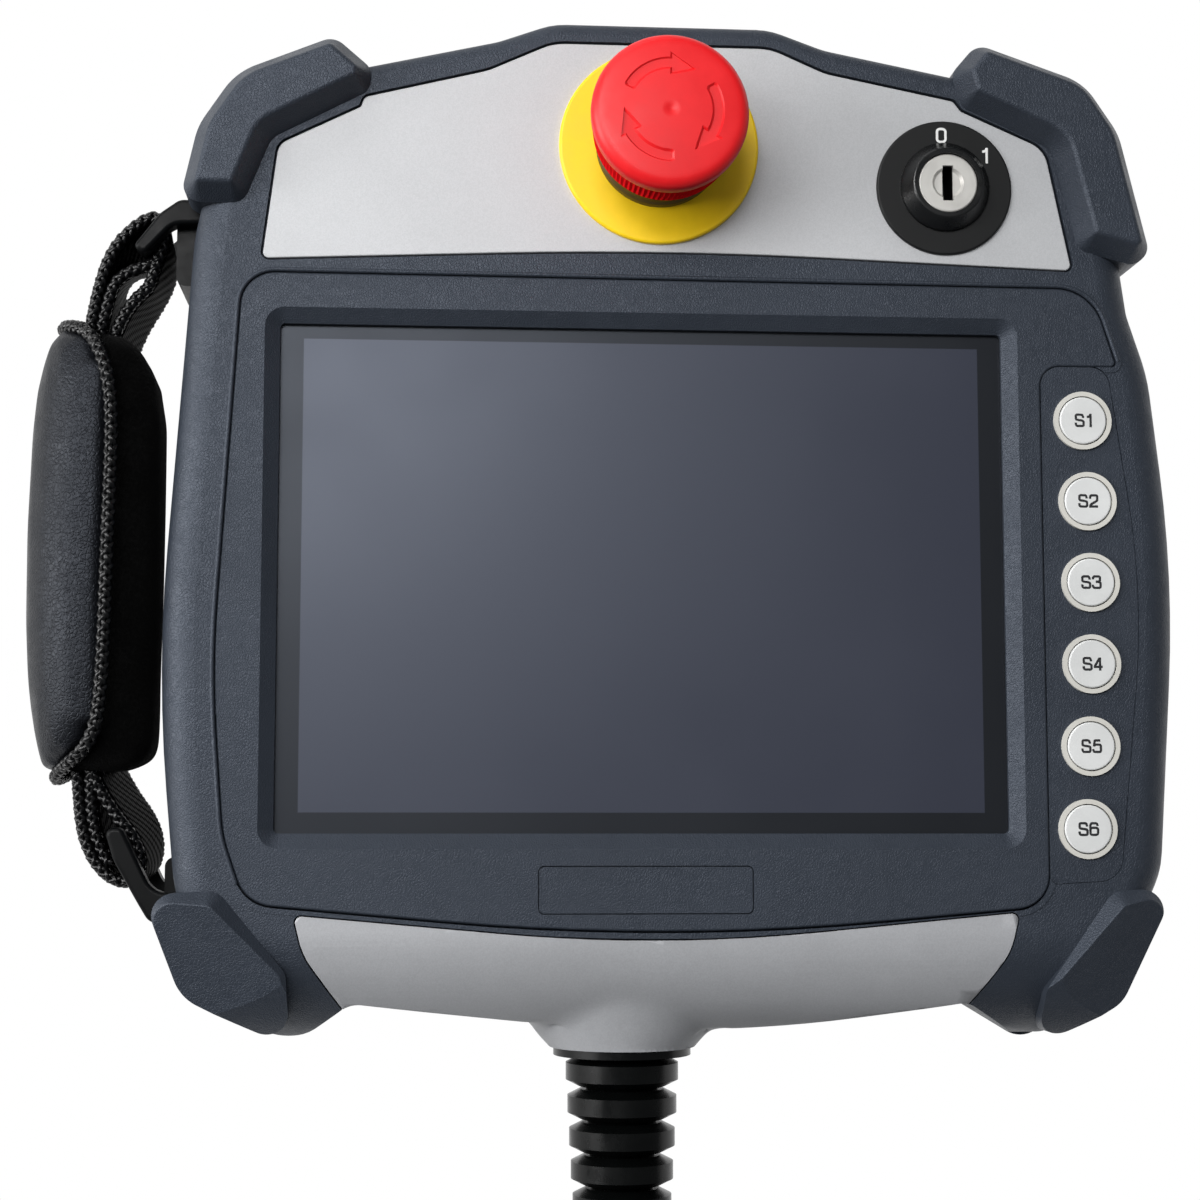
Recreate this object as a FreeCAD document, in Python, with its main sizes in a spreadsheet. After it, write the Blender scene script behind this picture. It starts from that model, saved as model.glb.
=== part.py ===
import FreeCAD, Part
import math
import os
import re
from types import SimpleNamespace

from FreeCAD import Placement, Rotation, Vector

# Handheld operator panel lying on its back: +Z points out of the screen, +Y to its
# upper edge, +X to its right. Z = 0 is the plane it rests on. Millimetres.

doc = FreeCAD.newDocument("operator_panel")
sheet = doc.addObject("Spreadsheet::Sheet", "dims")

SIZES = {
    # housing
    "front_z": 46,          # front plane above the rest plane
    "part_z": 24,           # parting plane of the two housing shells
    "body_left": 101.8,     # reach of the housing from the origin to each side
    "body_right": 107.4,
    "plate_height": 51.3,   # top of the housing above the lower corners of the control plate
    "chin_height": 41.4,    # lower edge of the housing below the window
    "brow_half": 22.6,      # half the straight top edge
    "brow_waist": 34,       # where the brow's steep run meets its flat run
    "brow_step": 4.1,
    "brow_end": 61,         # where the sloping brow meets the guards
    "brow_drop": 11.5,
    "edge_round": 7,        # rounding of the front edge
    "brow_round": 3.2,      # smaller rounding along the brow
    "rear_round": 4,
    "rear_inset": 6,        # draft of the rear shell
    "chin_round": 22,       # rounding of the lower front edge
    "side_wall": 4.5,
    "front_wall": 3.5,
    "rear_wall": 3.2,
    "seal_inset": 1.5,
    "seal_width": 1.4,
    "seal_height": 1.6,
    # corner guards
    "guard_rise": 5.5,      # above the front plane
    "guard_slope": 3,       # inset of their sloping edges
    "guard_round": 1.2,
    "guard_low_rise": 2.9,  # ridge of the lower guards above the front plane
    "guard_low_round": 0.4,
    # inlays of the front
    "inlay_gap": 0.45,
    "plate_step": 2.8,      # control plate above the screen bezel
    "plate_arch": 3.4,      # rise of its lower edge in the middle
    "plate_thick": 1.4,
    "plate_edge": 0.25,
    "plate_sink": 0.2,
    "bezel_thick": 3,
    "bezel_gap": 0.32,
    "bezel_edge": 0.5,
    "rim_width": 1.1,       # raised rim round the screen bezel
    "rim_rise": 0.2,
    "bezel_margin": 10.2,   # screen bezel above the window
    "panel_thick": 1.2,     # key panel
    "panel_sink": 0.25,
    "panel_gap": 0.1,
    "panel_left": 78.4,
    "panel_top": 49.2,
    "name_width": 42.8,
    "name_height": 9.2,
    "name_x": -3.7,
    "name_y": -58.1,
    "name_thick": 0.8,
    "name_sink": 0.25,
    # display
    "screen_x": -3.6,
    "screen_y": 4.6,
    "window_width": 148.4,
    "window_height": 103,
    "window_flare": 3,      # width of the sloping edge of the window
    "window_depth": 2,
    "glass_margin": 4,      # glass held under the bezel on each side
    "glass_thick": 1.8,
    "gasket_thick": 0.3,
    "glass_room": 0.5,
    "display_gap": 0.3,
    "display_thick": 6.5,
    "display_margin": 2,
    "frame_thick": 1.5,
    "frame_boss_x": 60,
    "frame_boss_out": 4.3,
    "frame_room": 1.9,
    "boss_radius": 3.2,
    "spacer_height": 5,
    "board_width": 150,
    "board_height": 98,
    "board_thick": 1.6,
    # emergency stop
    "stop_x": -0.8,
    "stop_y": 94,
    "stop_disc_radius": 20.6,
    "stop_disc_thick": 1.2,
    "stop_collar_radius": 13.1,
    "stop_collar_height": 9,
    "stop_head_radius": 15.6,
    "stop_skirt_radius": 14.4,
    "stop_skirt_z": 11,     # lower edge of the skirt above the control plate
    "stop_head_z": 25.3,    # top of the head above the control plate
    "stop_shaft_radius": 5,
    "stop_travel": 4.5,
    # panel devices in general
    "device_bore": 8.1,     # radius of a device hole
    "device_tube": 8,       # radius of the threaded tube
    "device_depth": 12,     # tube behind the front wall
    "nut_radius": 11,
    "nut_height": 4,
    "block_size": 19,
    "block_height": 16,
    "fit": 0.05,            # radial running fit
    # key switch
    "lock_x": 58.7,
    "lock_y": 86.5,
    "lock_disc_radius": 14.2,
    "lock_disc_thick": 0.8,
    "lock_bezel_radius": 9.3,
    "lock_bezel_top": 7.3,
    "lock_bezel_height": 3.9,
    "lock_radius": 6.2,
    "lock_face_sink": 0.5,
    "slot_width": 2.2,
    "slot_length": 7.4,
    "slot_depth": 9,
    # keys
    "key_count": 6,
    "key_first_y": 37.9,
    "key_pitch": 16.78,
    "key_mid_x": 87.9,
    "key_bow": 1.3,         # how far the outer keys stand back from the middle
    "key_lean": 0.35,
    "key_radius": 4.9,
    "key_rise": 0.9,
    "key_travel": 0.8,
    "ring_width": 0.95,
    "ring_rise": 0.75,
    "ring_room": 0.2,
    "stem_radius": 1.75,
    "switch_size": 6,
    "switch_height": 4,
    "switch_room": 0.25,
    "key_board_drop": 4.9,  # key board behind the front wall
    "key_board_width": 14.4,
    # lower cover
    "cover_half": 62.5,     # half width at the lower edge
    "cover_top_half": 72.7,
    "cover_x": -0.8,
    "cover_wall": 2.4,
    "cover_rear": 5,
    "cover_gap": 0.3,
    "gland_x": -6.6,
    "gland_z": 22,
    "boss_tip": 2.5,        # how far the cable boss stands out of the cover
    "boss_tip_radius": 15.2,
    "boss_root_half": 24,
    "boss_flare": 5,
    "boss_lift": 2.2,       # how far its root is raised
    "boss_length": 11.6,
    "gland_bore": 8,
    # cable
    "flange_radius": 14.3,
    "flange_thick": 1.7,
    "gland_length": 12,
    "boot_length": 47,
    "boot_rings": 7,
    "boot_start_radius": 11.7,
    "boot_end_radius": 9.5,
    "boot_core": 7.8,
    "boot_core_end": 5.6,
    "boot_band": 3.5,       # height of a ring's straight band
    "boot_bevel": 2.6,
    "cable_radius": 4.5,
    "coil_radius": 56,
    "coil_half": 14,
    "coil_height": 27.2,
    "coil_y": -200,
    "tie_width": 14,
    "tie_thick": 1.4,
    "plug_x": 101,          # rear end of the connector
    "plug_radius": 13,
    "plug_length": 58,
    "plug_tail_z": 13,
    # rear
    "scoop_depth": 11,      # finger recess at the left of the rear shell
    "scoop_right": -48,
    "scoop_low": -38,
    "scoop_high": 62,
    "enable_x": -70,
    "enable_y": 12,
    "enable_width": 17,
    "enable_height": 56,
    "enable_rise": 7,
    "enable_travel": 4,
    "enable_room": 0.3,
    "enable_wall": 3.2,
    "screw_radius": 1.5,
    "screw_head_radius": 2.8,
    "screw_head_height": 2,
    "screw_sink": 0.8,
    "screw_length": 29,
    "screw_room": 0.1,
    "post_radius": 4,
    # hand strap
    "strap_z": 22,
    "strap_width": 20,
    "web_thick": 1.6,
    "bar_radius": 1.2,
    "leg_thick": 4,
    "leg_room": 0.6,
    "leg_round": 0.9,
    "web_slack": 1.6,
    "upper_bar_y": 74.2,
    "lower_bar_y": -47.6,
    "upper_bar_out": 4.8,   # bar beyond the widest line of the housing
    "lower_bar_out": 8.4,
    "pad_seam": 14.3,       # seam plane beyond the widest line of the housing
    "pad_out": 27.2,
    "pad_top": 57.2,
    "pad_low": -34.4,
    "pad_corner": 7,
    "pad_front": 40,
    "pad_rear": 4,
    "pad_gap": 0.15,
    "lining_thick": 3.4,
    "lining_lip": 11.7,
    "piping_radius": 1.6,
    "piping_room": 0.3,
}

for row, (alias, value) in enumerate(SIZES.items(), start=1):
    sheet.set(f"A{row}", alias)
    sheet.set(f"B{row}", str(value))
    sheet.setAlias(f"B{row}", alias)
doc.recompute()
S = SimpleNamespace(**{alias: float(sheet.get(alias)) for alias in SIZES})

LEFT, RIGHT = S.body_left, S.body_right
LOW = S.window_height / 2 - S.screen_y + S.chin_height
LOW_AT = "(window_height / 2 - screen_y + chin_height)"
BEZEL_HIGH = S.screen_y + S.window_height / 2 + S.bezel_margin
PLATE_LOW = BEZEL_HIGH + S.plate_step
TOP = PLATE_LOW + S.plate_height
FAR = 400  # longer than anything in the model, for cutting tools
ALONG_X = Rotation(Vector(1, 1, 1), 120)          # sketch x, y, normal to Y, Z, X
ALONG_Y = Rotation(Vector(1, 0, 0), 90)           # sketch x, y, normal to X, Z, -Y
TO_MINUS_Y = Rotation(Vector(1, 0, 0), 90)        # a primitive's axis to -Y
TO_PLUS_X = Rotation(Vector(0, 1, 0), 90)         # a primitive's axis to +X


def bind(obj, prop, text):
    """Bind a property to an expression written with the sheet's aliases."""
    words = re.sub(r"[a-z_]+", lambda m: f"dims.{m[0]}" if m[0] in SIZES else m[0], text)
    obj.setExpression(prop, words)


def rounded(corners):
    """A closed outline of straight runs and tangent arcs from (x, y, radius) corners."""
    ends = []
    for i, (x, y, radius) in enumerate(corners):
        here = Vector(x, y, 0)
        back = Vector(*corners[i - 1][:2], 0) - here
        ahead = Vector(*corners[(i + 1) % len(corners)][:2], 0) - here
        back.normalize()
        ahead.normalize()
        half = back.getAngle(ahead) / 2
        run = radius / math.tan(half)
        inward = back + ahead
        if radius and inward.Length > 1e-6:
            inward.normalize()
            middle = here + inward * (radius / math.sin(half) - radius)
            ends.append((here + back * run, middle, here + ahead * run))
        else:
            ends.append((here, None, here))
    edges = []
    for i, (start, middle, end) in enumerate(ends):
        if middle:
            edges.append(Part.Arc(start, middle, end))
        following = ends[(i + 1) % len(ends)][0]
        if (following - end).Length > 1e-6:
            edges.append(Part.LineSegment(end, following))
    return edges


def inset(corners, amount):
    """The same outline moved inwards, by one amount or by one for each edge, with its radii adapted."""
    count = len(corners)
    amounts = amount if isinstance(amount, list) else [amount] * count
    area = sum(a[0] * b[1] - b[0] * a[1] for a, b in zip(corners, corners[1:] + corners[:1]))
    hand = math.copysign(1, area)
    moved = []
    for i, (x, y, radius) in enumerate(corners):
        here = Vector(x, y, 0)
        before = here - Vector(*corners[i - 1][:2], 0)
        after = Vector(*corners[(i + 1) % count][:2], 0) - here
        before.normalize()
        after.normalize()
        bend = before.x * after.y - before.y * after.x
        first, second = amounts[i - 1] * hand, amounts[i] * hand
        # along the edge before the corner, then across it
        along = (first * before.dot(after) - second) / bend if abs(bend) > 1e-9 else 0
        shift = Vector(-before.y, before.x, 0) * first + before * along
        mean = (amounts[i - 1] + amounts[i]) / 2
        fitted = radius - mean if bend * hand > 0 else radius + mean
        moved.append((x + shift.x, y + shift.y, max(fitted, 0.2) if radius else 0))
    return moved


def rectangle(x0, y0, x1, y1, radius=0):
    return [(x0, y0, radius), (x1, y0, radius), (x1, y1, radius), (x0, y1, radius)]


def outline(name, corners, level="0"):
    """A sketch in a plane parallel to the front, at the height that the text gives."""
    sketch = doc.addObject("Sketcher::SketchObject", name)
    sketch.addGeometry(rounded(corners), False)
    bind(sketch, "Placement.Base.z", level)
    return sketch


def raise_up(name, sketch, length, taper=None):
    solid = doc.addObject("Part::Extrusion", name)
    solid.Base = sketch
    solid.DirMode = "Normal"
    solid.Solid = True
    bind(solid, "LengthFwd", length)
    if taper:
        bind(solid, "TaperAngle", taper)
    return solid


def prism(name, corners, low, high):
    """An upright prism between two heights."""
    return raise_up(name, outline(f"{name}_outline", corners, low), f"({high}) - ({low})")


def between(name, first, second):
    """A solid with straight sides from one outline to another."""
    solid = doc.addObject("Part::Loft", name)
    solid.Sections = [first, second]
    solid.Solid = True
    solid.Ruled = True
    return solid


def box(name, x0, y0, x1, y1, low, high):
    """A block over a rectangle, between two heights."""
    solid = doc.addObject("Part::Box", name)
    solid.Length = x1 - x0
    solid.Width = y1 - y0
    solid.Placement.Base = Vector(x0, y0, 0)
    bind(solid, "Placement.Base.z", low)
    bind(solid, "Height", f"({high}) - ({low})")
    return solid


def rod(name, radius, low, high, x, y):
    """An upright cylinder; every argument is an expression."""
    solid = doc.addObject("Part::Cylinder", name)
    bind(solid, "Radius", radius)
    bind(solid, "Height", f"({high}) - ({low})")
    bind(solid, "Placement.Base.x", x)
    bind(solid, "Placement.Base.y", y)
    bind(solid, "Placement.Base.z", low)
    return solid


def lying_rod(name, radius, length, turn, x, y, z):
    """A cylinder along another axis; every size is an expression."""
    solid = doc.addObject("Part::Cylinder", name)
    bind(solid, "Radius", radius)
    bind(solid, "Height", length)
    solid.Placement.Rotation = turn
    bind(solid, "Placement.Base.x", x)
    bind(solid, "Placement.Base.y", y)
    bind(solid, "Placement.Base.z", z)
    return solid


def turned(name, points, x, y, z, turn=Rotation()):
    """A solid of revolution from (radius, height) points, placed by expressions."""
    sketch = doc.addObject("Sketcher::SketchObject", f"{name}_profile")
    sketch.addGeometry(rounded([(*p, 0) if len(p) == 2 else p for p in points]), False)
    sketch.Placement.Rotation = turn * Rotation(Vector(1, 0, 0), 90)
    bind(sketch, "Placement.Base.x", x)
    bind(sketch, "Placement.Base.y", y)
    bind(sketch, "Placement.Base.z", z)
    doc.recompute()
    solid = doc.addObject("Part::Revolution", name)
    solid.Source = sketch
    solid.Axis = turn.multVec(Vector(0, 0, 1))
    solid.Base = sketch.Placement.Base
    solid.Angle = 360
    solid.Solid = True
    return solid


def fuse(name, *solids):
    union = doc.addObject("Part::MultiFuse", name)
    union.Shapes = list(solids)
    return union


def cut(name, base, *tools):
    difference = doc.addObject("Part::Cut", name)
    difference.Base = base
    difference.Tool = tools[0] if len(tools) == 1 else fuse(f"{name}_tools", *tools)
    return difference


def common(name, first, second):
    shared = doc.addObject("Part::Common", name)
    shared.Base = first
    shared.Tool = second
    return shared


def fillet(name, base, radius, chosen):
    """Round the edges for which chosen(edge) holds."""
    doc.recompute()
    smooth = doc.addObject("Part::Fillet", name)
    smooth.Base = base
    smooth.Edges = [
        (i, radius, radius)
        for i, edge in enumerate(base.Shape.Edges, start=1)
        if chosen(edge)
    ]
    return smooth


def lies_at(edge, height):
    """Whether an edge lies in the plane z = height."""
    box_of_edge = edge.BoundBox
    return abs(box_of_edge.ZMin - height) < 1e-4 and abs(box_of_edge.ZMax - height) < 1e-4


NODES = {}


def node(name, obj):
    """Keep an object as the sub-part of that name."""
    obj.Label = name
    NODES[name] = obj
    return obj


# Outer form of the housing

BODY = [
    (-S.brow_end, TOP - S.brow_drop + 1.3, 14),
    (-S.brow_waist, TOP - S.brow_step, 20),
    (-S.brow_half, TOP, 16),
    (S.brow_half, TOP, 16),
    (S.brow_waist, TOP - S.brow_step, 20),
    (S.brow_end, TOP - S.brow_drop + 2.2, 14),
    (RIGHT - 22.4, TOP - 14.6, 12),
    (RIGHT - 15, TOP - 23, 12),
    (RIGHT - 10, TOP - 50, 20),
    (RIGHT - 8.8, TOP - 59, 12),
    (RIGHT - 4.6, TOP - 72, 40),
    (RIGHT, 6, 250),
    (RIGHT - 4.2, 34 - LOW, 20),
    (RIGHT - 15.2, 9.6 - LOW, 10),
    (S.cover_half + 15.3, -2 - LOW, 6),
    (S.cover_half, 7.2 - LOW, 5),
    (8, -0.5 - LOW, 250),
    (-S.cover_half, 7.6 - LOW, 6),
    (-S.cover_half - 12, -1.4 - LOW, 9),
    (8.5 - LEFT, 10.4 - LOW, 10),
    (4 - LEFT, 33 - LOW, 25),
    (-LEFT, -14, 300),
    (6 - LEFT, TOP - 46, 40),
    (10.2 - LEFT, TOP - 25, 12),
    (17.5 - LEFT, TOP - 17, 12),
]

body_outline = outline("body_outline", BODY, "part_z")


def front_block(name, radius):
    """The front half of the housing with a rounded front edge."""
    block = raise_up(f"{name}_block", body_outline, "front_z - part_z")
    return fillet(name, block, radius, lambda edge: lies_at(edge, S.front_z))


def chin_tool(name, radius="chin_round", level="front_z - chin_round"):
    """What the lower front edge loses to its large rounding about an axis at a level."""
    centre_y = S.chin_round - LOW
    corner = box(f"{name}_corner", -FAR, -FAR, FAR, centre_y, level, "front_z + 40")
    drum = lying_rod(f"{name}_drum", radius, "800", TO_PLUS_X, "-400", f"chin_round - {LOW_AT}", level)
    return cut(name, corner, drum)


brow_zone = box("brow_zone", -S.brow_end - 5, TOP - 26, S.brow_end + 5, TOP + 10, "0", "front_z + 10")
brow = common("brow", front_block("brow_form", S.brow_round), brow_zone)
front_form = cut("front_form", fuse("front_mass", front_block("front_edge", S.edge_round), brow),
                 chin_tool("chin_cut"))

rear_block = between("rear_block", body_outline, outline("rear_outline", inset(BODY, S.rear_inset)))
rear_form = fillet("rear_form", rear_block, S.rear_round, lambda edge: lies_at(edge, 0))
whole_form = fuse("whole_form", front_form, rear_form)

# Lower cover with the cable boss

COVER = [
    (S.cover_x - S.cover_top_half, 25.3 - LOW, 1.2),
    (S.cover_x, 18.7 - LOW, 350),
    (S.cover_x + S.cover_top_half, 25.5 - LOW, 1.2),
    (S.cover_x + S.cover_top_half - 1.9, 17.6 - LOW, 15),
    (S.cover_x + S.cover_top_half - 20, -8 - LOW, 0),
    (S.cover_x + 20 - S.cover_top_half, -8 - LOW, 0),
    (S.cover_x + 1.9 - S.cover_top_half, 17.6 - LOW, 15),
]
cover_outline = outline("cover_outline", COVER, "cover_rear")
cover_zone = raise_up("cover_zone", cover_outline, "front_z")
cover_cut = prism("cover_cut", inset(COVER, -S.cover_gap), "cover_rear", "front_z + 5")
cover_drum = lying_rod("cover_drum", "chin_round - cover_wall", "800", TO_PLUS_X,
                       "-400", f"chin_round - {LOW_AT}", "front_z - chin_round")
cover_upper = common("cover_upper", prism("cover_upper_form", inset(BODY, S.cover_wall), "part_z", "front_z"),
                     cover_drum)
cover_lower = prism("cover_lower", inset(BODY, S.cover_wall + S.rear_inset), "cover_rear - 1", "part_z")
cover_inner = prism("cover_inner", inset(COVER, S.cover_wall), "cover_rear - 1", "front_z")
cover_hollow = common("cover_hollow", cover_inner, fuse("cover_room", cover_upper, cover_lower))

COVER_POSTS = [(-50, 14.5 - LOW), (50, 14.5 - LOW)]


def post(name, place, low, high):
    """A screw post at a place."""
    return rod(name, "post_radius", low, high, str(place[0]), str(place[1]))


def boss_ring(name, half_width, half_height, back, lift):
    """An upright oval over the cable's axis, at a distance behind the boss's end."""
    oval = doc.addObject("Part::Ellipse", name)
    bind(oval, "MajorRadius", half_width)
    bind(oval, "MinorRadius", half_height)
    oval.Placement.Rotation = TO_MINUS_Y
    bind(oval, "Placement.Base.x", "gland_x")
    bind(oval, "Placement.Base.y", f"{back} - boss_tip - {LOW_AT}")
    bind(oval, "Placement.Base.z", f"gland_z + {lift}")
    return oval


boss_form = doc.addObject("Part::Loft", "boss_form")
boss_form.Sections = [
    boss_ring("boss_root", "boss_root_half", "boss_tip_radius + boss_lift - 0.2", "boss_length", "boss_lift"),
    boss_ring("boss_waist", "boss_tip_radius + boss_flare", "boss_tip_radius + boss_lift / 2 - 0.1",
              "boss_length / 2", "boss_lift / 2"),
    boss_ring("boss_end", "boss_tip_radius + 0.01", "boss_tip_radius", "0", "0"),
]
boss_form.Solid = True
cover_shell = cut("cover_shell", common("cover_skin", whole_form, cover_zone), cover_hollow)
cover_posts = [
    common(f"cover_post_{i}", post(f"cover_column_{i}", place, "cover_rear", "front_z"),
           common(f"cover_post_zone_{i}", whole_form, cover_zone))
    for i, place in enumerate(COVER_POSTS)
]
gland_hole = lying_rod("gland_hole", "gland_bore", f"boss_tip + {LOW_AT} - 50", TO_MINUS_Y,
                       "gland_x", "-50", "gland_z")
boss = cut("boss", boss_form, cover_hollow)

SCREWS = [
    (21.8 - LEFT, TOP - 34.4),
    (RIGHT - 23.4, TOP - 34.4),
    (-32, TOP - 16.4),
    (30, TOP - 16.4),
    (RIGHT - 21.4, 30.3 - LOW),
    (13.8 - LEFT, 32.3 - LOW),
]


def screw_holes(name, places, radius, low, high):
    return [
        rod(f"{name}_{i}", radius, low, high, str(x), str(y))
        for i, (x, y) in enumerate(places)
    ]


node("lower_cover", cut("lower_cover", fuse("cover_mass", cover_shell, boss, *cover_posts), gland_hole,
                        *screw_holes("cover_screw_hole", COVER_POSTS, "screw_radius + screw_room",
                                     "0", "screw_sink + screw_head_height + screw_length + 1")))

# Inlays of the front: control plate, screen bezel, key panel, name plate

PLATE = [
    (20.2 - LEFT, PLATE_LOW, 1.2),
    (23.2 - LEFT, PLATE_LOW + 23.8, 3.5),
    (-S.brow_end - 1, TOP - 19.3, 1),
    (-S.brow_end - 0.2, TOP - 17.2, 1.5),
    (-S.brow_waist - 2, TOP - S.brow_step - 6.9, 14),
    (-S.brow_half, TOP - 4.9, 12),
    (S.brow_half, TOP - 4.9, 12),
    (S.brow_waist, TOP - S.brow_step - 5.8, 14),
    (S.brow_end, TOP - 15.2, 1.5),
    (S.brow_end + 1.6, TOP - 17.3, 1),
    (RIGHT - 27.2, PLATE_LOW + 26.3, 6),
    (RIGHT - 21.9, PLATE_LOW + 0.5, 1.2),
    (0, PLATE_LOW + S.plate_arch, 900),
]
plate_outline = outline("plate_outline", PLATE, "front_z - plate_sink - plate_thick")
plate_top = "front_z - plate_sink"
plate_blank = fillet("plate_blank", raise_up("plate_sheet", plate_outline, "plate_thick"), S.plate_edge,
                     lambda edge: lies_at(edge, S.front_z - S.plate_sink))
plate_pocket = prism("plate_pocket", inset(PLATE, -S.inlay_gap), f"{plate_top} - plate_thick", "front_z + 20")

PANEL = [
    (S.panel_left, S.panel_top, 4),
    (RIGHT - 15, S.panel_top, 4),
    (RIGHT - 8.4, 2, 160),
    (RIGHT - 14.4, 32 - LOW, 5),
    (S.panel_left, 31.2 - LOW, 1.5),
]
panel_outline = outline("panel_outline", PANEL, "front_z - panel_sink - panel_thick")
panel_blank = raise_up("panel_blank", panel_outline, "panel_thick")
panel_pocket = prism("panel_pocket", inset(PANEL, -S.panel_gap), "front_z - panel_sink - panel_thick",
                     "front_z + 20")

BEZEL = [
    (16.4 - LEFT, BEZEL_HIGH, 7),
    (RIGHT - 18, BEZEL_HIGH - 0.6, 10),
    (RIGHT - 12.8, S.panel_top + S.panel_gap, 1),
    (S.panel_left - S.panel_gap, S.panel_top + S.panel_gap, 4.2),
    (S.panel_left - S.panel_gap, 26.8 - LOW, 7),
    (0, 20 - LOW, 500),
    (18.8 - LEFT, 27.6 - LOW, 8),
    (14.2 - LEFT, 41 - LOW, 25),
    (11.6 - LEFT, -14, 200),
]
bezel_outline = outline("bezel_outline", BEZEL, "front_z - bezel_thick")
bezel_blank = fillet("bezel_blank", raise_up("bezel_sheet", bezel_outline, "bezel_thick"), S.bezel_edge,
                     lambda edge: lies_at(edge, S.front_z) and edge.BoundBox.XMax < S.panel_left - 1)
WIDE, THIN = -S.bezel_gap, -S.panel_gap
BEZEL_ROOM = inset(BEZEL, [WIDE, THIN, THIN, THIN, WIDE, WIDE, WIDE, WIDE, WIDE])
bezel_pocket = prism("bezel_pocket", BEZEL_ROOM, "front_z - bezel_thick", "front_z + 20")
bezel_rim = prism("bezel_rim", inset(BEZEL_ROOM, -S.rim_width), "front_z - 1", "front_z + rim_rise")


def screen_rectangle(margin, radius):
    """A rectangle round the window, wider by a margin on each side."""
    half_x = S.window_width / 2 + margin
    half_y = S.window_height / 2 + margin
    return rectangle(S.screen_x - half_x, S.screen_y - half_y,
                     S.screen_x + half_x, S.screen_y + half_y, radius)


window = prism("window", screen_rectangle(0, 1), "front_z - bezel_thick - 1", "front_z + 1")
window_slope = raise_up("window_slope",
                        outline("window_slope_outline", screen_rectangle(0, 1), "front_z - window_depth"),
                        "window_depth + 0.001", "atan(window_flare / window_depth)")
name_corners = rectangle(S.name_x - S.name_width / 2, S.name_y - S.name_height / 2,
                         S.name_x + S.name_width / 2, S.name_y + S.name_height / 2, 1)
name_outline = outline("name_outline", name_corners, "front_z - name_sink - name_thick")
name_pocket = prism("name_pocket", inset(name_corners, -S.inlay_gap / 2), "front_z - name_sink - name_thick",
                    "front_z + 5")
node("name_plate", raise_up("name_plate", name_outline, "name_thick"))
bezel_body = cut("bezel_body", bezel_blank, chin_tool("bezel_chin"))
node("screen_bezel", cut("screen_bezel", bezel_body, window, window_slope, name_pocket))

# Keys with their rings, switches and board

KEYS = []
for number in range(int(S.key_count)):
    middle = (S.key_count - 1) / 2
    share = (number - middle) / middle
    KEYS.append((S.key_mid_x - S.key_bow * share**2 - S.key_lean * share,
                 S.key_first_y - S.key_pitch * number))

panel_top = "front_z - panel_sink"
ring_hole = "key_radius + ring_room + ring_width"
board_top = "front_z - front_wall - key_board_drop"
key_holes = []
rings = []
switches = []
switch_wells = []
for number, (x, y) in enumerate(KEYS, start=1):
    at = (str(x), str(y))
    key_holes.append(rod(f"key_hole_{number}", ring_hole, board_top, "front_z + 1", *at))
    ring = cut(
        f"ring_{number}",
        rod(f"ring_wall_{number}", ring_hole, "front_z - front_wall", f"{panel_top} + ring_rise", *at),
        rod(f"ring_bore_{number}", "key_radius + ring_room", "front_z - front_wall - 1", "front_z + 5", *at),
    )
    rings.append(ring)
    cap = turned(
        f"key_body_{number}",
        [
            (0, S.key_rise),
            (S.key_radius, S.key_rise, 0.35),
            (S.key_radius, -2.4),
            (S.stem_radius, -2.4),
            (S.stem_radius, S.panel_sink - S.front_wall - S.key_board_drop + S.switch_height - 1.4),
            (0, S.panel_sink - S.front_wall - S.key_board_drop + S.switch_height - 1.4),
        ],
        *at, panel_top,
    )
    node(f"key_{number}", cap)
    half = S.switch_size / 2
    switches.append(box(f"switch_{number}", x - half, y - half, x + half, y + half,
                        board_top, f"{board_top} + switch_height"))
    switch_wells.append(rod(f"switch_well_{number}", "stem_radius + switch_room",
                            f"{board_top} + switch_height - 1.4 - key_travel - 0.4",
                            f"{board_top} + switch_height + 1", *at))
node("key_rings", fuse("key_rings", *rings))
node("key_panel", cut("key_panel", panel_blank, *key_holes))
node("key_switches", cut("key_switches", fuse("switch_row", *switches), *switch_wells))
board_left = S.key_mid_x - S.key_bow / 2 - S.key_board_width / 2
KEY_POSTS = [
    (S.key_mid_x - S.key_bow / 2, S.key_first_y - S.key_pitch * gap)
    for gap in (0.5, S.key_count - 2.5)
]
node("key_board", box("key_board", board_left, KEYS[-1][1] - 6.5, board_left + S.key_board_width,
                      KEYS[0][1] + 6.5, f"{board_top} - board_thick", board_top))

# Display: gasket, glass, module, frame, main board

bezel_low = "front_z - bezel_thick"
glass_top = f"{bezel_low} - gasket_thick"
display_top = f"{glass_top} - glass_thick - display_gap"
frame_top = f"{display_top} - display_thick"
spacer_top = f"{frame_top} - frame_thick"
main_top = f"{spacer_top} - spacer_height"
gasket_blank = prism("gasket_blank", screen_rectangle(S.glass_margin, 1), glass_top, bezel_low)
gasket_hole = prism("gasket_hole", screen_rectangle(0.8, 1), f"{glass_top} - 1", f"{bezel_low} + 1")
node("display_gasket", cut("display_gasket", gasket_blank, gasket_hole))
node("touch_glass", prism("touch_glass", screen_rectangle(S.glass_margin, 1),
                          f"{glass_top} - glass_thick", glass_top))
node("display_module", prism("display_module", screen_rectangle(S.glass_margin - S.display_margin, 1),
                             frame_top, display_top))
boss_y = S.window_height / 2 + S.glass_margin + S.glass_room + S.frame_boss_out
FRAME_BOSSES = [
    (S.screen_x + side * S.frame_boss_x, S.screen_y + end * boss_y)
    for side in (-1, 1)
    for end in (-1, 1)
]
ROOM_LOW = S.screen_y - boss_y - S.boss_radius - S.frame_room
frame_half_x = S.window_width / 2 + S.glass_margin - S.display_margin
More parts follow.
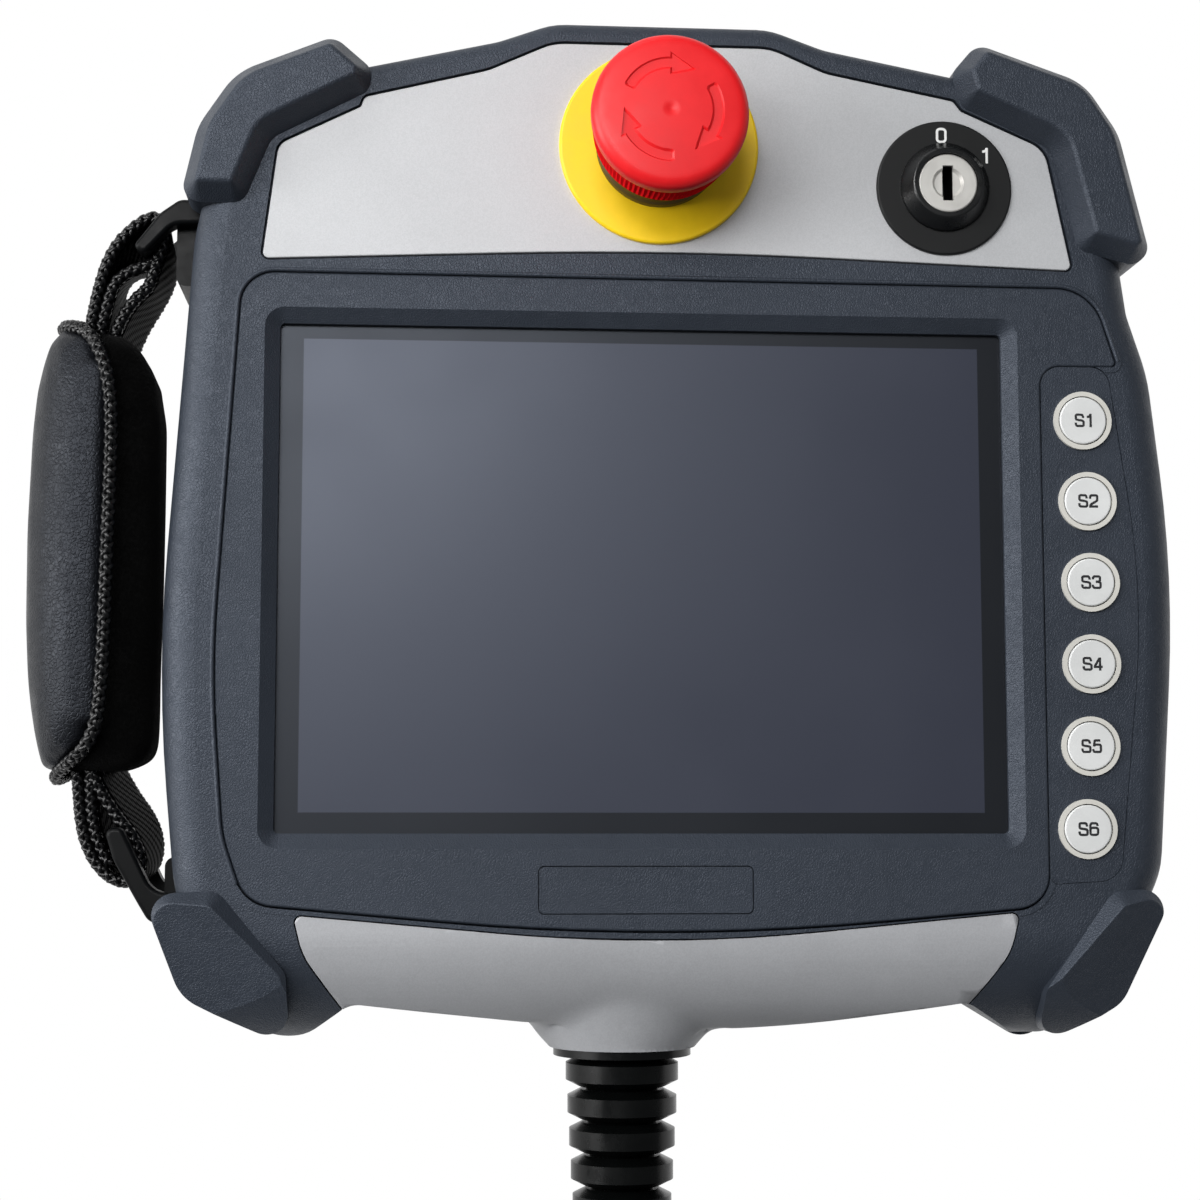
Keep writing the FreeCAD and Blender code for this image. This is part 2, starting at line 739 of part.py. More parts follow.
frame_plate = prism(
    "frame_plate",
    rectangle(S.screen_x - frame_half_x, S.screen_y - boss_y - S.boss_radius,
              S.screen_x + frame_half_x, S.screen_y + boss_y + S.boss_radius, 3),
    spacer_top, frame_top,
)
frame_window = prism(
    "frame_window",
    rectangle(S.screen_x - frame_half_x + 14, S.screen_y - 0.36 * S.window_height,
              S.screen_x + frame_half_x - 14, S.screen_y + 0.36 * S.window_height, 4),
    f"{spacer_top} - 1", f"{frame_top} + 1",
)
spacers = [
    rod(f"spacer_{i}", "boss_radius", main_top, frame_top,
        f"screen_x + {sx} * (board_width / 2 - 5)", f"screen_y + {sy} * (board_height / 2 - 5)")
    for i, (sx, sy) in enumerate([(-1, -1), (-1, 1), (1, -1), (1, 1)])
]
frame_holes = [
    rod(f"frame_hole_{i}", "screw_radius + screw_room", f"{spacer_top} - 1", f"{frame_top} + 1",
        str(x), str(y))
    for i, (x, y) in enumerate(FRAME_BOSSES)
]
frame_sheet = cut("frame_sheet", frame_plate, frame_window, *frame_holes)
node("display_frame", fuse("display_frame", frame_sheet, *spacers))
board_half_x = S.board_width / 2
board_half_y = S.board_height / 2
board_sheet = box("board_sheet", S.screen_x - board_half_x, S.screen_y - board_half_y,
                  S.screen_x + board_half_x, S.screen_y + board_half_y, f"{main_top} - board_thick", main_top)
PLUG_Y = 7 - board_half_y   # cable connector of the board
CHIPS = [
    (-20, 14, 32, 32, 3),
    (38, 22, 16, 16, 2.2),
    (40, -20, 24, 12, 6),
    (S.gland_x - S.screen_x, PLUG_Y, 30, 8, 8),
]
chips = [
    box(f"chip_{i}", S.screen_x + x - w / 2, S.screen_y + y - d / 2, S.screen_x + x + w / 2,
        S.screen_y + y + d / 2, f"{main_top} - board_thick - {tall}", f"{main_top} - board_thick")
    for i, (x, y, w, d, tall) in enumerate(CHIPS)
]
node("main_board", fuse("main_board", board_sheet, *chips))


def screw(name, x, y, z, length):
    """A pan-head screw pointing up from the height of its head."""
    return fuse(
        name,
        rod(f"{name}_head", "screw_head_radius", z, f"{z} + screw_head_height", str(x), str(y)),
        rod(f"{name}_shank", "screw_radius", f"{z} + screw_head_height",
            f"{z} + screw_head_height + {length}", str(x), str(y)),
    )


node("frame_screws", fuse("frame_screws", *[
    screw(f"frame_screw_{i}", x, y, f"{spacer_top} - screw_head_height", "6")
    for i, (x, y) in enumerate(FRAME_BOSSES)
]))

# Emergency stop

stop_at = ("stop_x", "stop_y")
disc_top = f"{plate_top} + stop_disc_thick"
wall_low = "front_z - front_wall"
tube_low = f"{wall_low} - device_depth"


def device_hole(name, low, x, y):
    return rod(name, "device_bore", low, "front_z + 1", x, y)


node("stop_disc", cut(
    "stop_disc",
    turned("stop_disc_form",
           [(0, 0), (S.stop_disc_radius, 0), (S.stop_disc_radius, S.stop_disc_thick, 0.6),
            (0, S.stop_disc_thick)],
           *stop_at, plate_top),
    device_hole("stop_disc_hole", "front_z - 5", *stop_at),
))
collar_low = S.front_z - S.plate_sink + S.stop_disc_thick
tube_drop = S.front_z - S.front_wall - S.device_depth - collar_low
node("stop_collar", turned(
    "stop_collar",
    [
        (S.stop_shaft_radius + S.fit, tube_drop),
        (S.device_tube, tube_drop),
        (S.device_tube, 0),
        (S.stop_collar_radius, 0),
        (S.stop_collar_radius, 1.6, 0.5),
        (S.stop_collar_radius - 0.6, 2.4, 1),
        (S.stop_collar_radius - 0.6, S.stop_collar_height, 0.8),
        (S.stop_shaft_radius + S.fit, S.stop_collar_height),
    ],
    *stop_at, disc_top,
))


def nut(name, x, y):
    """A hexagon nut under the front wall."""
    corners = [
        (S.nut_radius * math.cos(math.radians(60 * i)), S.nut_radius * math.sin(math.radians(60 * i)), 0)
        for i in range(6)
    ]
    blank = prism(f"{name}_blank", corners, f"{wall_low} - nut_height", wall_low)
    bind(blank.Base, "Placement.Base.x", x)
    bind(blank.Base, "Placement.Base.y", y)
    bore = rod(f"{name}_bore", "device_tube + fit", f"{wall_low} - nut_height - 1", f"{wall_low} + 1", x, y)
    return node(name, cut(name, blank, bore))


def contact_block(name, x, y, well_radius, well_depth):
    """The contact block below a device, with room for the moving end."""
    half = S.block_size / 2
    block = prism(f"{name}_block", rectangle(-half, -half, half, half, 1.5),
                  f"{tube_low} - block_height", tube_low)
    bind(block.Base, "Placement.Base.x", x)
    bind(block.Base, "Placement.Base.y", y)
    return node(name, cut(name, block, rod(f"{name}_well", well_radius, f"{tube_low} - {well_depth}",
                                           f"{tube_low} + 1", x, y)))


nut("stop_nut", *stop_at)
contact_block("stop_contacts", *stop_at, "stop_shaft_radius + 0.3", "5 - stop_travel - 0.5")
neck = 4  # radius of the spigot that the head turns on
head_seat = S.stop_head_z - S.stop_disc_thick - 8
shaft_low = tube_drop - 5
node("stop_plunger", turned(
    "stop_plunger",
    [
        (0, shaft_low),
        (S.stop_shaft_radius, shaft_low, 0.5),
        (S.stop_shaft_radius, head_seat),
        (neck, head_seat),
        (neck, head_seat + 5),
        (0, head_seat + 5),
    ],
    *stop_at, disc_top,
))
skirt = S.stop_skirt_z - S.stop_disc_thick
head_top = S.stop_head_z - S.stop_disc_thick
inside = S.stop_collar_radius + 0.5
head_form = turned(
    "head_form",
    [
        (neck + S.fit, head_seat + 0.02),
        (inside, head_seat + 0.02),
        (inside, skirt),
        (S.stop_skirt_radius, skirt, 0.4),
        (S.stop_head_radius, head_top - 5.2, 3),
        (S.stop_head_radius, head_top - 0.8, 2.6),
        (S.stop_head_radius * 0.7, head_top, 20),
        (1.2, head_top - 0.1),
        (0.8, head_top - 0.5),
        (0, head_top - 0.5),
        (0, head_seat + 5.3),
        (neck + S.fit, head_seat + 5.3),
    ],
    *stop_at, disc_top,
)
node("stop_head", head_form)

# Key switch

lock_at = ("lock_x", "lock_y")
legend_top = f"{plate_top} + lock_disc_thick"
node("lock_legend", cut(
    "lock_legend",
    turned("lock_legend_form",
           [(0, 0), (S.lock_disc_radius, 0), (S.lock_disc_radius, S.lock_disc_thick, 0.4),
            (0, S.lock_disc_thick)],
           *lock_at, plate_top),
    device_hole("lock_legend_hole", "front_z - 5", *lock_at),
))
lock_low = S.front_z - S.front_wall - S.device_depth - (S.front_z - S.plate_sink + S.lock_disc_thick)
node("lock_bezel", turned(
    "lock_bezel",
    [
        (S.lock_radius + S.fit, lock_low),
        (S.device_tube, lock_low),
        (S.device_tube, 0),
        (S.lock_bezel_radius, 0),
        (S.lock_bezel_radius, 0.8, 0.3),
        (S.lock_bezel_top, S.lock_bezel_height, 0.5),
        (S.lock_radius + S.fit, S.lock_bezel_height),
    ],
    *lock_at, legend_top,
))
nut("lock_nut", *lock_at)
contact_block("lock_contacts", *lock_at, "lock_radius - 3", "2")
lock_face = S.lock_bezel_height - S.lock_face_sink
lock_body = turned(
    "lock_body",
    [
        (0, lock_low + 0.3),
        (S.lock_radius, lock_low + 0.3),
        (S.lock_radius, lock_face, 0.4),
        (S.slot_length / 2 - 0.4, lock_face),
        (S.slot_length / 2 - 1, lock_face - 0.6),
        (0, lock_face - 0.6),
    ],
    *lock_at, legend_top,
)
slot = box("slot", S.lock_x - S.slot_width / 2, S.lock_y - S.slot_length / 2, S.lock_x + S.slot_width / 2,
           S.lock_y + S.slot_length / 2, f"{legend_top} + lock_bezel_height - slot_depth", "front_z + 10")
node("lock_cylinder", cut("lock_cylinder", lock_body, slot))

# Front housing

body_room = common("body_room", prism("body_room_form", inset(BODY, S.side_wall), "part_z", wall_low),
                   box("body_room_zone", -FAR, ROOM_LOW, FAR, FAR, "0", "front_z"))
glass_opening = prism("glass_opening", screen_rectangle(S.glass_margin + S.glass_room, 1.5),
                      f"{wall_low} - 1", "front_z + 1")
seal_low = "part_z - seal_height / 2"
seal_high = "part_z + seal_height / 2"
seal_room = cut("seal_room",
                prism("seal_outer", inset(BODY, S.seal_inset), seal_low, seal_high),
                prism("seal_inner", inset(BODY, S.seal_inset + S.seal_width), seal_low, seal_high))
node("housing_seal", cut("housing_seal", seal_room, cover_cut))

front_posts = [
    post(f"front_post_{i}", place, "part_z", wall_low) for i, place in enumerate(SCREWS)
] + [
    rod(f"frame_boss_{i}", "boss_radius", frame_top, wall_low, str(x), str(y))
    for i, (x, y) in enumerate(FRAME_BOSSES)
] + [
    rod(f"key_post_{i}", "screw_radius + 0.4", board_top, wall_low, str(x), str(y))
    for i, (x, y) in enumerate(KEY_POSTS)
]
front_shell = fuse("front_shell", cut("front_hollow", front_form, body_room), bezel_rim, *front_posts)
node("front_housing", cut(
    "front_housing", front_shell, glass_opening, bezel_pocket, plate_pocket, panel_pocket, cover_cut,
    seal_room, gland_hole,
    device_hole("stop_hole", f"{wall_low} - 1", *stop_at),
    device_hole("lock_hole", f"{wall_low} - 1", *lock_at),
    *key_holes,
    *screw_holes("front_screw_hole", SCREWS, "screw_radius + screw_room", "part_z - 1",
                 "screw_sink + screw_head_height + screw_length + 1"),
    *screw_holes("frame_screw_hole", FRAME_BOSSES, "screw_radius + screw_room",
                 f"{frame_top} - 1", f"{spacer_top} + 6.5"),
))
node("control_plate", cut("control_plate", plate_blank,
                          device_hole("stop_plate_hole", "front_z - 10", *stop_at),
                          device_hole("lock_plate_hole", "front_z - 10", *lock_at)))

# Rear housing with the finger recess and the enabling switch

SCOOP = rectangle(-LEFT - 20, S.scoop_low, S.scoop_right, S.scoop_high, 12)
scoop_top = "scoop_depth + enable_wall"
scoop = prism("scoop", SCOOP, "-1", "scoop_depth")
scoop_block = prism("scoop_block",
                    rectangle(-LEFT - 24, S.scoop_low - S.enable_wall, S.scoop_right + S.enable_wall,
                              S.scoop_high + S.enable_wall, 14), "-1", scoop_top)
rear_room = cut("rear_room",
                common("rear_room_form",
                       prism("rear_room_block", inset(BODY, S.side_wall + S.rear_inset), "rear_wall",
                             "part_z"),
                       box("rear_room_zone", -FAR, ROOM_LOW, FAR, FAR, "0", "part_z + 40")),
                scoop_block)


def enable_rectangle(margin, radius):
    half_x = S.enable_width / 2 + margin
    half_y = S.enable_height / 2 + margin
    return rectangle(S.enable_x - half_x, S.enable_y - half_y,
                     S.enable_x + half_x, S.enable_y + half_y, radius)


enable_slot = prism("enable_slot", enable_rectangle(S.enable_room, 7.8), "scoop_depth - 1",
                    f"{scoop_top} + 1")
rear_posts = [post(f"rear_post_{i}", place, "rear_wall", "part_z") for i, place in enumerate(SCREWS)]
rear_screw_places = SCREWS + COVER_POSTS
node("rear_housing", cut(
    "rear_housing",
    fuse("rear_shell", cut("rear_hollow", rear_form, rear_room), *rear_posts),
    scoop, enable_slot, cover_cut, seal_room, gland_hole,
    *screw_holes("rear_screw_hole", rear_screw_places, "screw_radius + screw_room", "-1", "part_z + 1"),
    *screw_holes("rear_head_hole", rear_screw_places, "screw_head_radius + 0.3", "-1",
                 "screw_sink + screw_head_height"),
))
node("rear_screws", fuse("rear_screws", *[
    screw(f"rear_screw_{i}", x, y, "screw_sink", "screw_length") for i, (x, y) in enumerate(rear_screw_places)
]))
button_low = "scoop_depth - enable_rise"
enable_cap = prism("enable_cap", enable_rectangle(0, 7.5), button_low, scoop_top)
node("enable_button", fillet("enable_button", enable_cap, 1.5,
                             lambda edge: lies_at(edge, S.scoop_depth - S.enable_rise)))
switch_wall = prism("enable_switch_wall", enable_rectangle(4, 9), scoop_top, "part_z - 1")
switch_room = prism("enable_switch_room", enable_rectangle(S.enable_room + 0.2, 7.9), f"{scoop_top} - 1",
                    f"{scoop_top} + enable_travel + 0.6")
node("enable_switch", cut("enable_switch", switch_wall, switch_room))
node("enable_gasket", cut(
    "enable_gasket",
    prism("enable_gasket_blank", enable_rectangle(3.2, 9.5), "scoop_depth - 1.6", "scoop_depth"),
    prism("enable_gasket_hole", enable_rectangle(S.enable_room, 7.8), "scoop_depth - 3", "scoop_depth + 1"),
))

# Strap brackets

UPPER_BAR = (-LEFT - S.upper_bar_out, S.upper_bar_y)
LOWER_BAR = (-LEFT - S.lower_bar_out, S.lower_bar_y)
UPPER_LEG = [
    (UPPER_BAR[0] - 2.3, S.upper_bar_y - 0.8, 1.2),
    (-LEFT - 1.6, S.upper_bar_y + 6.5, 6),
    (2.4 - LEFT, S.upper_bar_y + 9.4, 3),
    (12 - LEFT, S.upper_bar_y + 9.4, 0),
    (12 - LEFT, S.upper_bar_y + 4.6, 0),
    (1.2 - LEFT, S.upper_bar_y + 4.1, 4),
    (UPPER_BAR[0] + 0.2, S.upper_bar_y - 2.2, 1.2),
]
UPPER_ROOT = rectangle(1.6 - LEFT, S.upper_bar_y - 8, 12 - LEFT, S.upper_bar_y + 9.4, 2)
LOWER_LEG = [
    (LOWER_BAR[0] - 1.9, S.lower_bar_y + 1.9, 1.5),
    (LOWER_BAR[0] + 1.7, S.lower_bar_y + 1.9, 1.5),
    (-LEFT - 0.4, S.lower_bar_y - 11, 5),
    (12 - LEFT, S.lower_bar_y - 11.6, 0),
    (12 - LEFT, S.lower_bar_y - 18.5, 0),
    (-LEFT - 1, S.lower_bar_y - 17, 3),
    (-LEFT - 3.2, S.lower_bar_y - 13.4, 5),
    (-LEFT - 8.3, S.lower_bar_y - 4.6, 9),
]
LOWER_ROOT = rectangle(1.6 - LEFT, S.lower_bar_y - 18.5, 12 - LEFT, S.lower_bar_y - 4, 2)
leg_near = "strap_width / 2 + leg_room"
leg_far = "strap_width / 2 + leg_room + leg_thick"
LEG_FRONT = S.strap_z + S.strap_width / 2 + S.leg_room + S.leg_thick


def strap_bracket(name, leg, root, bar):
    """A bracket of two legs with rounded edges, the bar that holds the webbing, and a root plate."""
    front_leg = fillet(f"{name}_front_leg",
                       prism(f"{name}_front_blank", leg, f"strap_z + {leg_near}", f"strap_z + {leg_far}"),
                       S.leg_round, lambda edge: lies_at(edge, LEG_FRONT))
    rear_leg = prism(f"{name}_rear_leg", leg, f"strap_z - ({leg_far})", f"strap_z - ({leg_near})")
    pin = rod(f"{name}_bar", "bar_radius", f"strap_z - ({leg_far}) + 1", f"strap_z + {leg_far} - 1",
              str(bar[0]), str(bar[1]))
    base = prism(f"{name}_root", root, f"strap_z - ({leg_near})", f"strap_z + {leg_near}")
    return fuse(f"{name}_raw", front_leg, rear_leg, pin, base)


upper_raw = strap_bracket("upper_bracket", UPPER_LEG, UPPER_ROOT, UPPER_BAR)
lower_raw = strap_bracket("lower_bracket", LOWER_LEG, LOWER_ROOT, LOWER_BAR)
node("strap_bracket_upper", cut("strap_bracket_upper", upper_raw, whole_form))
node("strap_bracket_lower", cut("strap_bracket_lower", lower_raw, whole_form))

# Corner guards

GUARDS = {
    "guard_upper_left": [
        (34.2 - LEFT, TOP - 4.7, 4),
        (14.4 - LEFT, TOP - 12.8, 14),
        (6.9 - LEFT, TOP - 24.2, 14),
        (3.4 - LEFT, TOP - 40, 3.4),
        (16.3 - LEFT, TOP - 40, 3.4),
        (21.8 - LEFT, TOP - 26.4, 5),
        (41.6 - LEFT, TOP - 16, 3.4),
        (42 - LEFT, TOP - 11.4, 3.4),
    ],
    "guard_upper_right": [
        (RIGHT - 41.2, TOP - 2.8, 4),
        (RIGHT - 46.8, TOP - 9.4, 3.4),
        (RIGHT - 44.8, TOP - 16.4, 3.4),
        (RIGHT - 26, TOP - 25, 5),
        (RIGHT - 20.6, TOP - 46.4, 3.4),
        (RIGHT - 8.6, TOP - 49.6, 3.4),
        (RIGHT - 5.4, TOP - 46.6, 3.4),
        (RIGHT - 11.4, TOP - 21.4, 14),
        (RIGHT - 18.6, TOP - 10.6, 12),
    ],
    "guard_lower_right": [
        (RIGHT - 3.4, 30.5 - LOW, 4.4),
        (RIGHT - 16.2, 29.8 - LOW, 4.4),
        (RIGHT - 30.2, 10.2 - LOW, 4.4),
        (RIGHT - 30.4, -2.6 - LOW, 4.4),
        (RIGHT - 13.3, 7.2 - LOW, 7),
    ],
    "guard_lower_left": [
        (-LEFT - 1.1, 29.4 - LOW, 4.4),
        (6.3 - LEFT, 9.3 - LOW, 9),
        (27.6 - LEFT, -1.2 - LOW, 4.4),
        (27 - LEFT, 14 - LOW, 4.4),
        (13.4 - LEFT, 30.3 - LOW, 4.4),
    ],
}


def guard_mass(name, slope, rise):
    """A block that wraps a corner of the housing and stands proud of its front with sloping edges."""
    corners = GUARDS[name]
    base = outline(f"{name}_outline", corners, "front_z")
    lower = raise_up(f"{name}_wall", base, "front_z")
    lower.Reversed = True
    upper = between(f"{name}_cap", base, outline(f"{name}_top", inset(corners, slope), f"front_z + {rise}"))
    return fuse(f"{name}_mass", lower, upper)


def upper_guard(name, *tools):
    """A guard with a top parallel to the front."""
    top = S.front_z + S.guard_rise
    block = fillet(f"{name}_block", guard_mass(name, S.guard_slope, "guard_rise"), S.guard_round,
                   lambda edge: lies_at(edge, top) or lies_at(edge, 0))
    return node(name, cut(name, block, whole_form, *tools))


def lower_guard(name, ridge, *tools):
    """A guard whose top falls from its ridge: the plane through three (x, y, rise) places."""
    first, second, third = (Vector(x, y, S.front_z + rise) for x, y, rise in ridge)
    normal = (second - first).cross(third - first)
    normal.normalize()
    above = doc.addObject("Part::Box", f"{name}_above")
    above.Length = FAR
    above.Width = FAR
    above.Height = 60
    turn = Rotation(Vector(0, 0, 1), normal)
    above.Placement = Placement(first + turn.multVec(Vector(-FAR / 2, -FAR / 2, 0)), turn)
    mass = cut(f"{name}_sloped", guard_mass(name, S.guard_low_rise + 1.1, "guard_low_rise + 1.1"), above)

    def on_ridge(edge):
        middle = edge.valueAt((edge.FirstParameter + edge.LastParameter) / 2)
        spots = [middle] + [v.Point for v in edge.Vertexes]
        flat = all(abs((spot - first).dot(normal)) < 1e-4 for spot in spots)
        return flat and edge.BoundBox.ZMin > S.front_z + 0.05

    block = fillet(f"{name}_block", mass, S.guard_low_round, on_ridge)
    return node(name, cut(name, block, whole_form, *tools))


upper_guard("guard_upper_left", upper_raw)
upper_guard("guard_upper_right")
guard_chin = chin_tool("guard_chin", "chin_round + guard_low_rise")
RIDGE = S.guard_low_rise
lower_guard("guard_lower_right", [
    (RIGHT - 14.6, 27.1 - LOW, RIDGE),
    (RIGHT - 26.8, 10.6 - LOW, RIDGE - 2.7),
    (RIGHT - 13.3, 7.2 - LOW, RIDGE - 7.4),
], guard_chin)
lower_guard("guard_lower_left", [
    (12.3 - LEFT, 27.3 - LOW, RIDGE),
    (6.3 - LEFT, 9.3 - LOW, RIDGE - 5.9),
    (23 - LEFT, 13 - LOW, RIDGE - 2.3),
], guard_chin, lower_raw)

# Webbing and padded hand strap: plain bodies of soft pieces

web_low = "strap_z - strap_width / 2"
web_high = "strap_z + strap_width / 2"
web_out = S.bar_radius + S.web_slack + S.web_thick
piping_reach = 2 * S.piping_radius + S.piping_room + 0.5


def webbing(name, bar, far_y):
    """A webbing loop from its bar to the pad."""
    away = math.copysign(web_out, bar[1] - far_y)
    loop = [
        (bar[0] - web_out, bar[1] + away, 3.4),
        (bar[0] + web_out, bar[1] + away, 3.4),
        (-LEFT - 3.2, far_y, 1.8),
        (-LEFT - S.pad_seam - 6, far_y, 1.8),
    ]
    band = prism(f"{name}_band", loop, web_low, web_high)
    hole = prism(f"{name}_hole", inset(loop, S.web_thick), f"{web_low} - 1", f"{web_high} + 1")
    return node(name, cut(name, band, hole))


webbing("strap_webbing_upper", UPPER_BAR, S.pad_top + piping_reach)
webbing("strap_webbing_lower", LOWER_BAR, S.pad_low - piping_reach)

seam = -LEFT - S.pad_seam
PAD = [
    (seam - S.pad_gap, S.pad_top, 2),
    (seam - S.pad_gap, S.pad_low, 2),
    (seam - 7, S.pad_low, 4),
    (2 - LEFT - S.pad_out, S.pad_low + 12, 12),
    (-LEFT - S.pad_out, 10, 120),
    (3.5 - LEFT - S.pad_out, S.pad_top - 10, 12),
    (seam - 6, S.pad_top, 4),
]


def side_prism(name, y0, z0, y1, z1, radius):
    """A long block along X with a rounded rectangle as its side view."""
    sketch = doc.addObject("Sketcher::SketchObject", f"{name}_outline")
    sketch.addGeometry(rounded(rectangle(y0, z0, y1, z1, radius)), False)
    sketch.Placement = Placement(Vector(-LEFT - 100, 0, 0), ALONG_X)
    return raise_up(name, sketch, "200")


pad_side = side_prism("pad_side", S.pad_low, S.pad_rear, S.pad_top, S.pad_front, S.pad_corner)
node("strap_pad_cover", common("strap_pad_cover", prism("pad_block", PAD, "pad_rear", "pad_front"), pad_side))
lining_side = side_prism("lining_side", S.pad_low + 2, S.pad_rear + 1, S.pad_top - 2, S.pad_front - 1,
                         S.pad_corner)
lining_sketch = doc.addObject("Sketcher::SketchObject", "lining_outline")
lining_sketch.addGeometry(rounded([
    (seam + S.pad_gap, S.pad_rear + 1, 0.5),
    (seam + S.pad_gap + S.lining_thick, S.pad_rear + 1, 1.5),
    (seam + S.pad_gap + S.lining_thick, S.pad_front - 10, 3),
    (seam + S.lining_lip + 1.6, S.pad_front - 6, 1.5),
    (seam + S.lining_lip + 1.6, S.pad_front - 1, 1.5),
    (seam + S.pad_gap, S.pad_front - 1, 0.5),
]), False)
lining_sketch.Placement = Placement(Vector(0, S.pad_top - 2, 0), ALONG_Y)
lining_block = raise_up("lining_block", lining_sketch, "pad_top - pad_low - 4")
node("strap_pad_lining", common("strap_pad_lining", lining_block, lining_side))


def ring_pipe(y0, y1, z0, z1, corner, x, radius):
    """A round cord round a rectangle with rounded corners in a plane of constant x."""
    flat = Part.Wire([edge.toShape() for edge in rounded(rectangle(y0, z0, y1, z1, corner))])
    flat.Placement = Placement(Vector(x, 0, 0), ALONG_X)
    start = flat.OrderedEdges[1]
    begin = start.valueAt(start.FirstParameter)
    heading = start.tangentAt(start.FirstParameter)
    section = Part.Wire([Part.Circle(begin, heading, radius).toShape()])
    return flat.makePipeShell([section], True, True)


out = S.piping_radius + S.piping_room
piping = doc.addObject("Part::Feature", "strap_piping")
piping.Shape = ring_pipe(S.pad_low - out, S.pad_top + out, S.pad_rear - out, S.pad_front + out,
                         S.pad_corner + out, seam, S.piping_radius)
node("strap_piping", piping)

# Cable gland, inner lead, bend protection, cable, coil and connector

tip_y = f"-boss_tip - {LOW_AT}"
flange = lying_rod("flange", "flange_radius", "flange_thick", TO_MINUS_Y, "gland_x", tip_y, "gland_z")
spigot = lying_rod("spigot", "gland_bore - fit", "gland_length", TO_MINUS_Y,
                   "gland_x", f"{tip_y} + gland_length", "gland_z")
node("cable_gland", fuse("cable_gland", flange, spigot))
inner_end = S.screen_y + PLUG_Y - 4
node("inner_lead", lying_rod("inner_lead", "cable_radius - 1", f"{inner_end} - ({tip_y}) - gland_length",
                             TO_MINUS_Y, "gland_x", str(inner_end), "gland_z"))

boot_points = [(0, 0), (S.boot_core, 0)]
pitch = S.boot_length / S.boot_rings
for number in range(int(S.boot_rings)):
    share = number / (S.boot_rings - 1)
    ring_radius = S.boot_start_radius + (S.boot_end_radius - S.boot_start_radius) * share
    core = S.boot_core + (S.boot_core_end - S.boot_core) * share
    start = number * pitch
    bevel = (pitch - S.boot_band) / 2
    waist = ring_radius - S.boot_bevel
    boot_points += [
        (core, start + 0.3),
        (waist, start + 0.3),
        (ring_radius, start + bevel),
        (ring_radius, start + bevel + S.boot_band),
        (waist, start + pitch - 0.3),
        (core, start + pitch - 0.3),
    ]
boot_points += [(S.boot_core_end, S.boot_length), (0, S.boot_length)]
node("bend_protection", turned("bend_protection", boot_points, "gland_x", f"{tip_y} - flange_thick",
                               "gland_z", TO_MINUS_Y))

coil_x = "gland_x + coil_radius"
coil_low = S.coil_radius - S.coil_half
coil_high = S.coil_radius + S.coil_half
coil_profile = rectangle(coil_low, 0, coil_high, S.coil_height, 6)
coil = node("cable_coil", turned("cable_coil", coil_profile, coil_x, "coil_y", "0"))

boot_end_y = -S.boss_tip - LOW - S.flange_thick - S.boot_length
lead_run = lying_rod("lead_run", "cable_radius", f"{boot_end_y} - coil_y", TO_MINUS_Y,
                     "gland_x", str(boot_end_y), "gland_z")
node("cable_lead", cut("cable_lead", lead_run, coil))
tail_y = "coil_y - coil_radius"
tail_run = lying_rod("tail_run", "cable_radius", f"plug_x - ({coil_x})", TO_PLUS_X,
                     coil_x, tail_y, "plug_tail_z")
node("cable_tail", cut("cable_tail", tail_run, coil))

tie_profile = [
    (coil_low - S.tie_thick, 0.2, 0),
    (coil_high + S.tie_thick, 0.2, 0),
    (coil_high + S.tie_thick, S.coil_height + S.tie_thick, 7),
    (coil_low - S.tie_thick, S.coil_height + S.tie_thick, 7),
]
tie_ring = turned("tie_ring", tie_profile, coil_x, "coil_y", "0")
tie_zone = box("tie_zone", S.gland_x + S.coil_radius, S.coil_y - S.tie_width / 2, FAR,
               S.coil_y + S.tie_width / 2, "-1", "coil_height + 20")
node("coil_tie", cut("coil_tie", common("tie_band", tie_ring, tie_zone), coil))

plug_at = (tail_y, "plug_tail_z")
shell_radius = S.plug_radius - 2.4
node("plug_shell", turned(
    "plug_shell",
    [
        (0, 0),
        (S.cable_radius + 2, 0, 0.6),
        (S.cable_radius + 3.2, 13),
        (shell_radius, 16, 1),
        (shell_radius, S.plug_length - 24),
        (shell_radius - 1.6, S.plug_length - 24),
        (shell_radius - 1.6, S.plug_length - 14),
        (0, S.plug_length - 14),
    ],
    "plug_x", *plug_at, TO_PLUS_X,
))
node("plug_nut", turned(
    "plug_nut",
    [
        (shell_radius - 1.6 + S.fit, S.plug_length - 23.7),
        (S.plug_radius, S.plug_length - 23.7, 0.8),
        (S.plug_radius, S.plug_length, 0.8),
        (S.plug_radius - 2.2, S.plug_length),
        (S.plug_radius - 2.2, S.plug_length - 13),
        (shell_radius - 1.6 + S.fit, S.plug_length - 13),
    ],
    "plug_x", *plug_at, TO_PLUS_X,
))
node("plug_insert", turned(
    "plug_insert",
    [
        (0, S.plug_length - 14),
        (shell_radius - 2.6, S.plug_length - 14),
        (shell_radius - 2.6, S.plug_length - 2.5, 0.5),
        (0, S.plug_length - 2.5),
    ],
    "plug_x", *plug_at, TO_PLUS_X,
))

doc.recompute()

for obj in doc.Objects:
    if {"Invalid", "Error"} & set(obj.State):
        raise RuntimeError(f"{obj.Name} failed: {obj.getStatusString()}")
for name, obj in NODES.items():
    if obj.Shape.isNull() or not obj.Shape.isValid() or obj.Shape.Volume <= 0:
        raise RuntimeError(f"{name} has no sound shape")

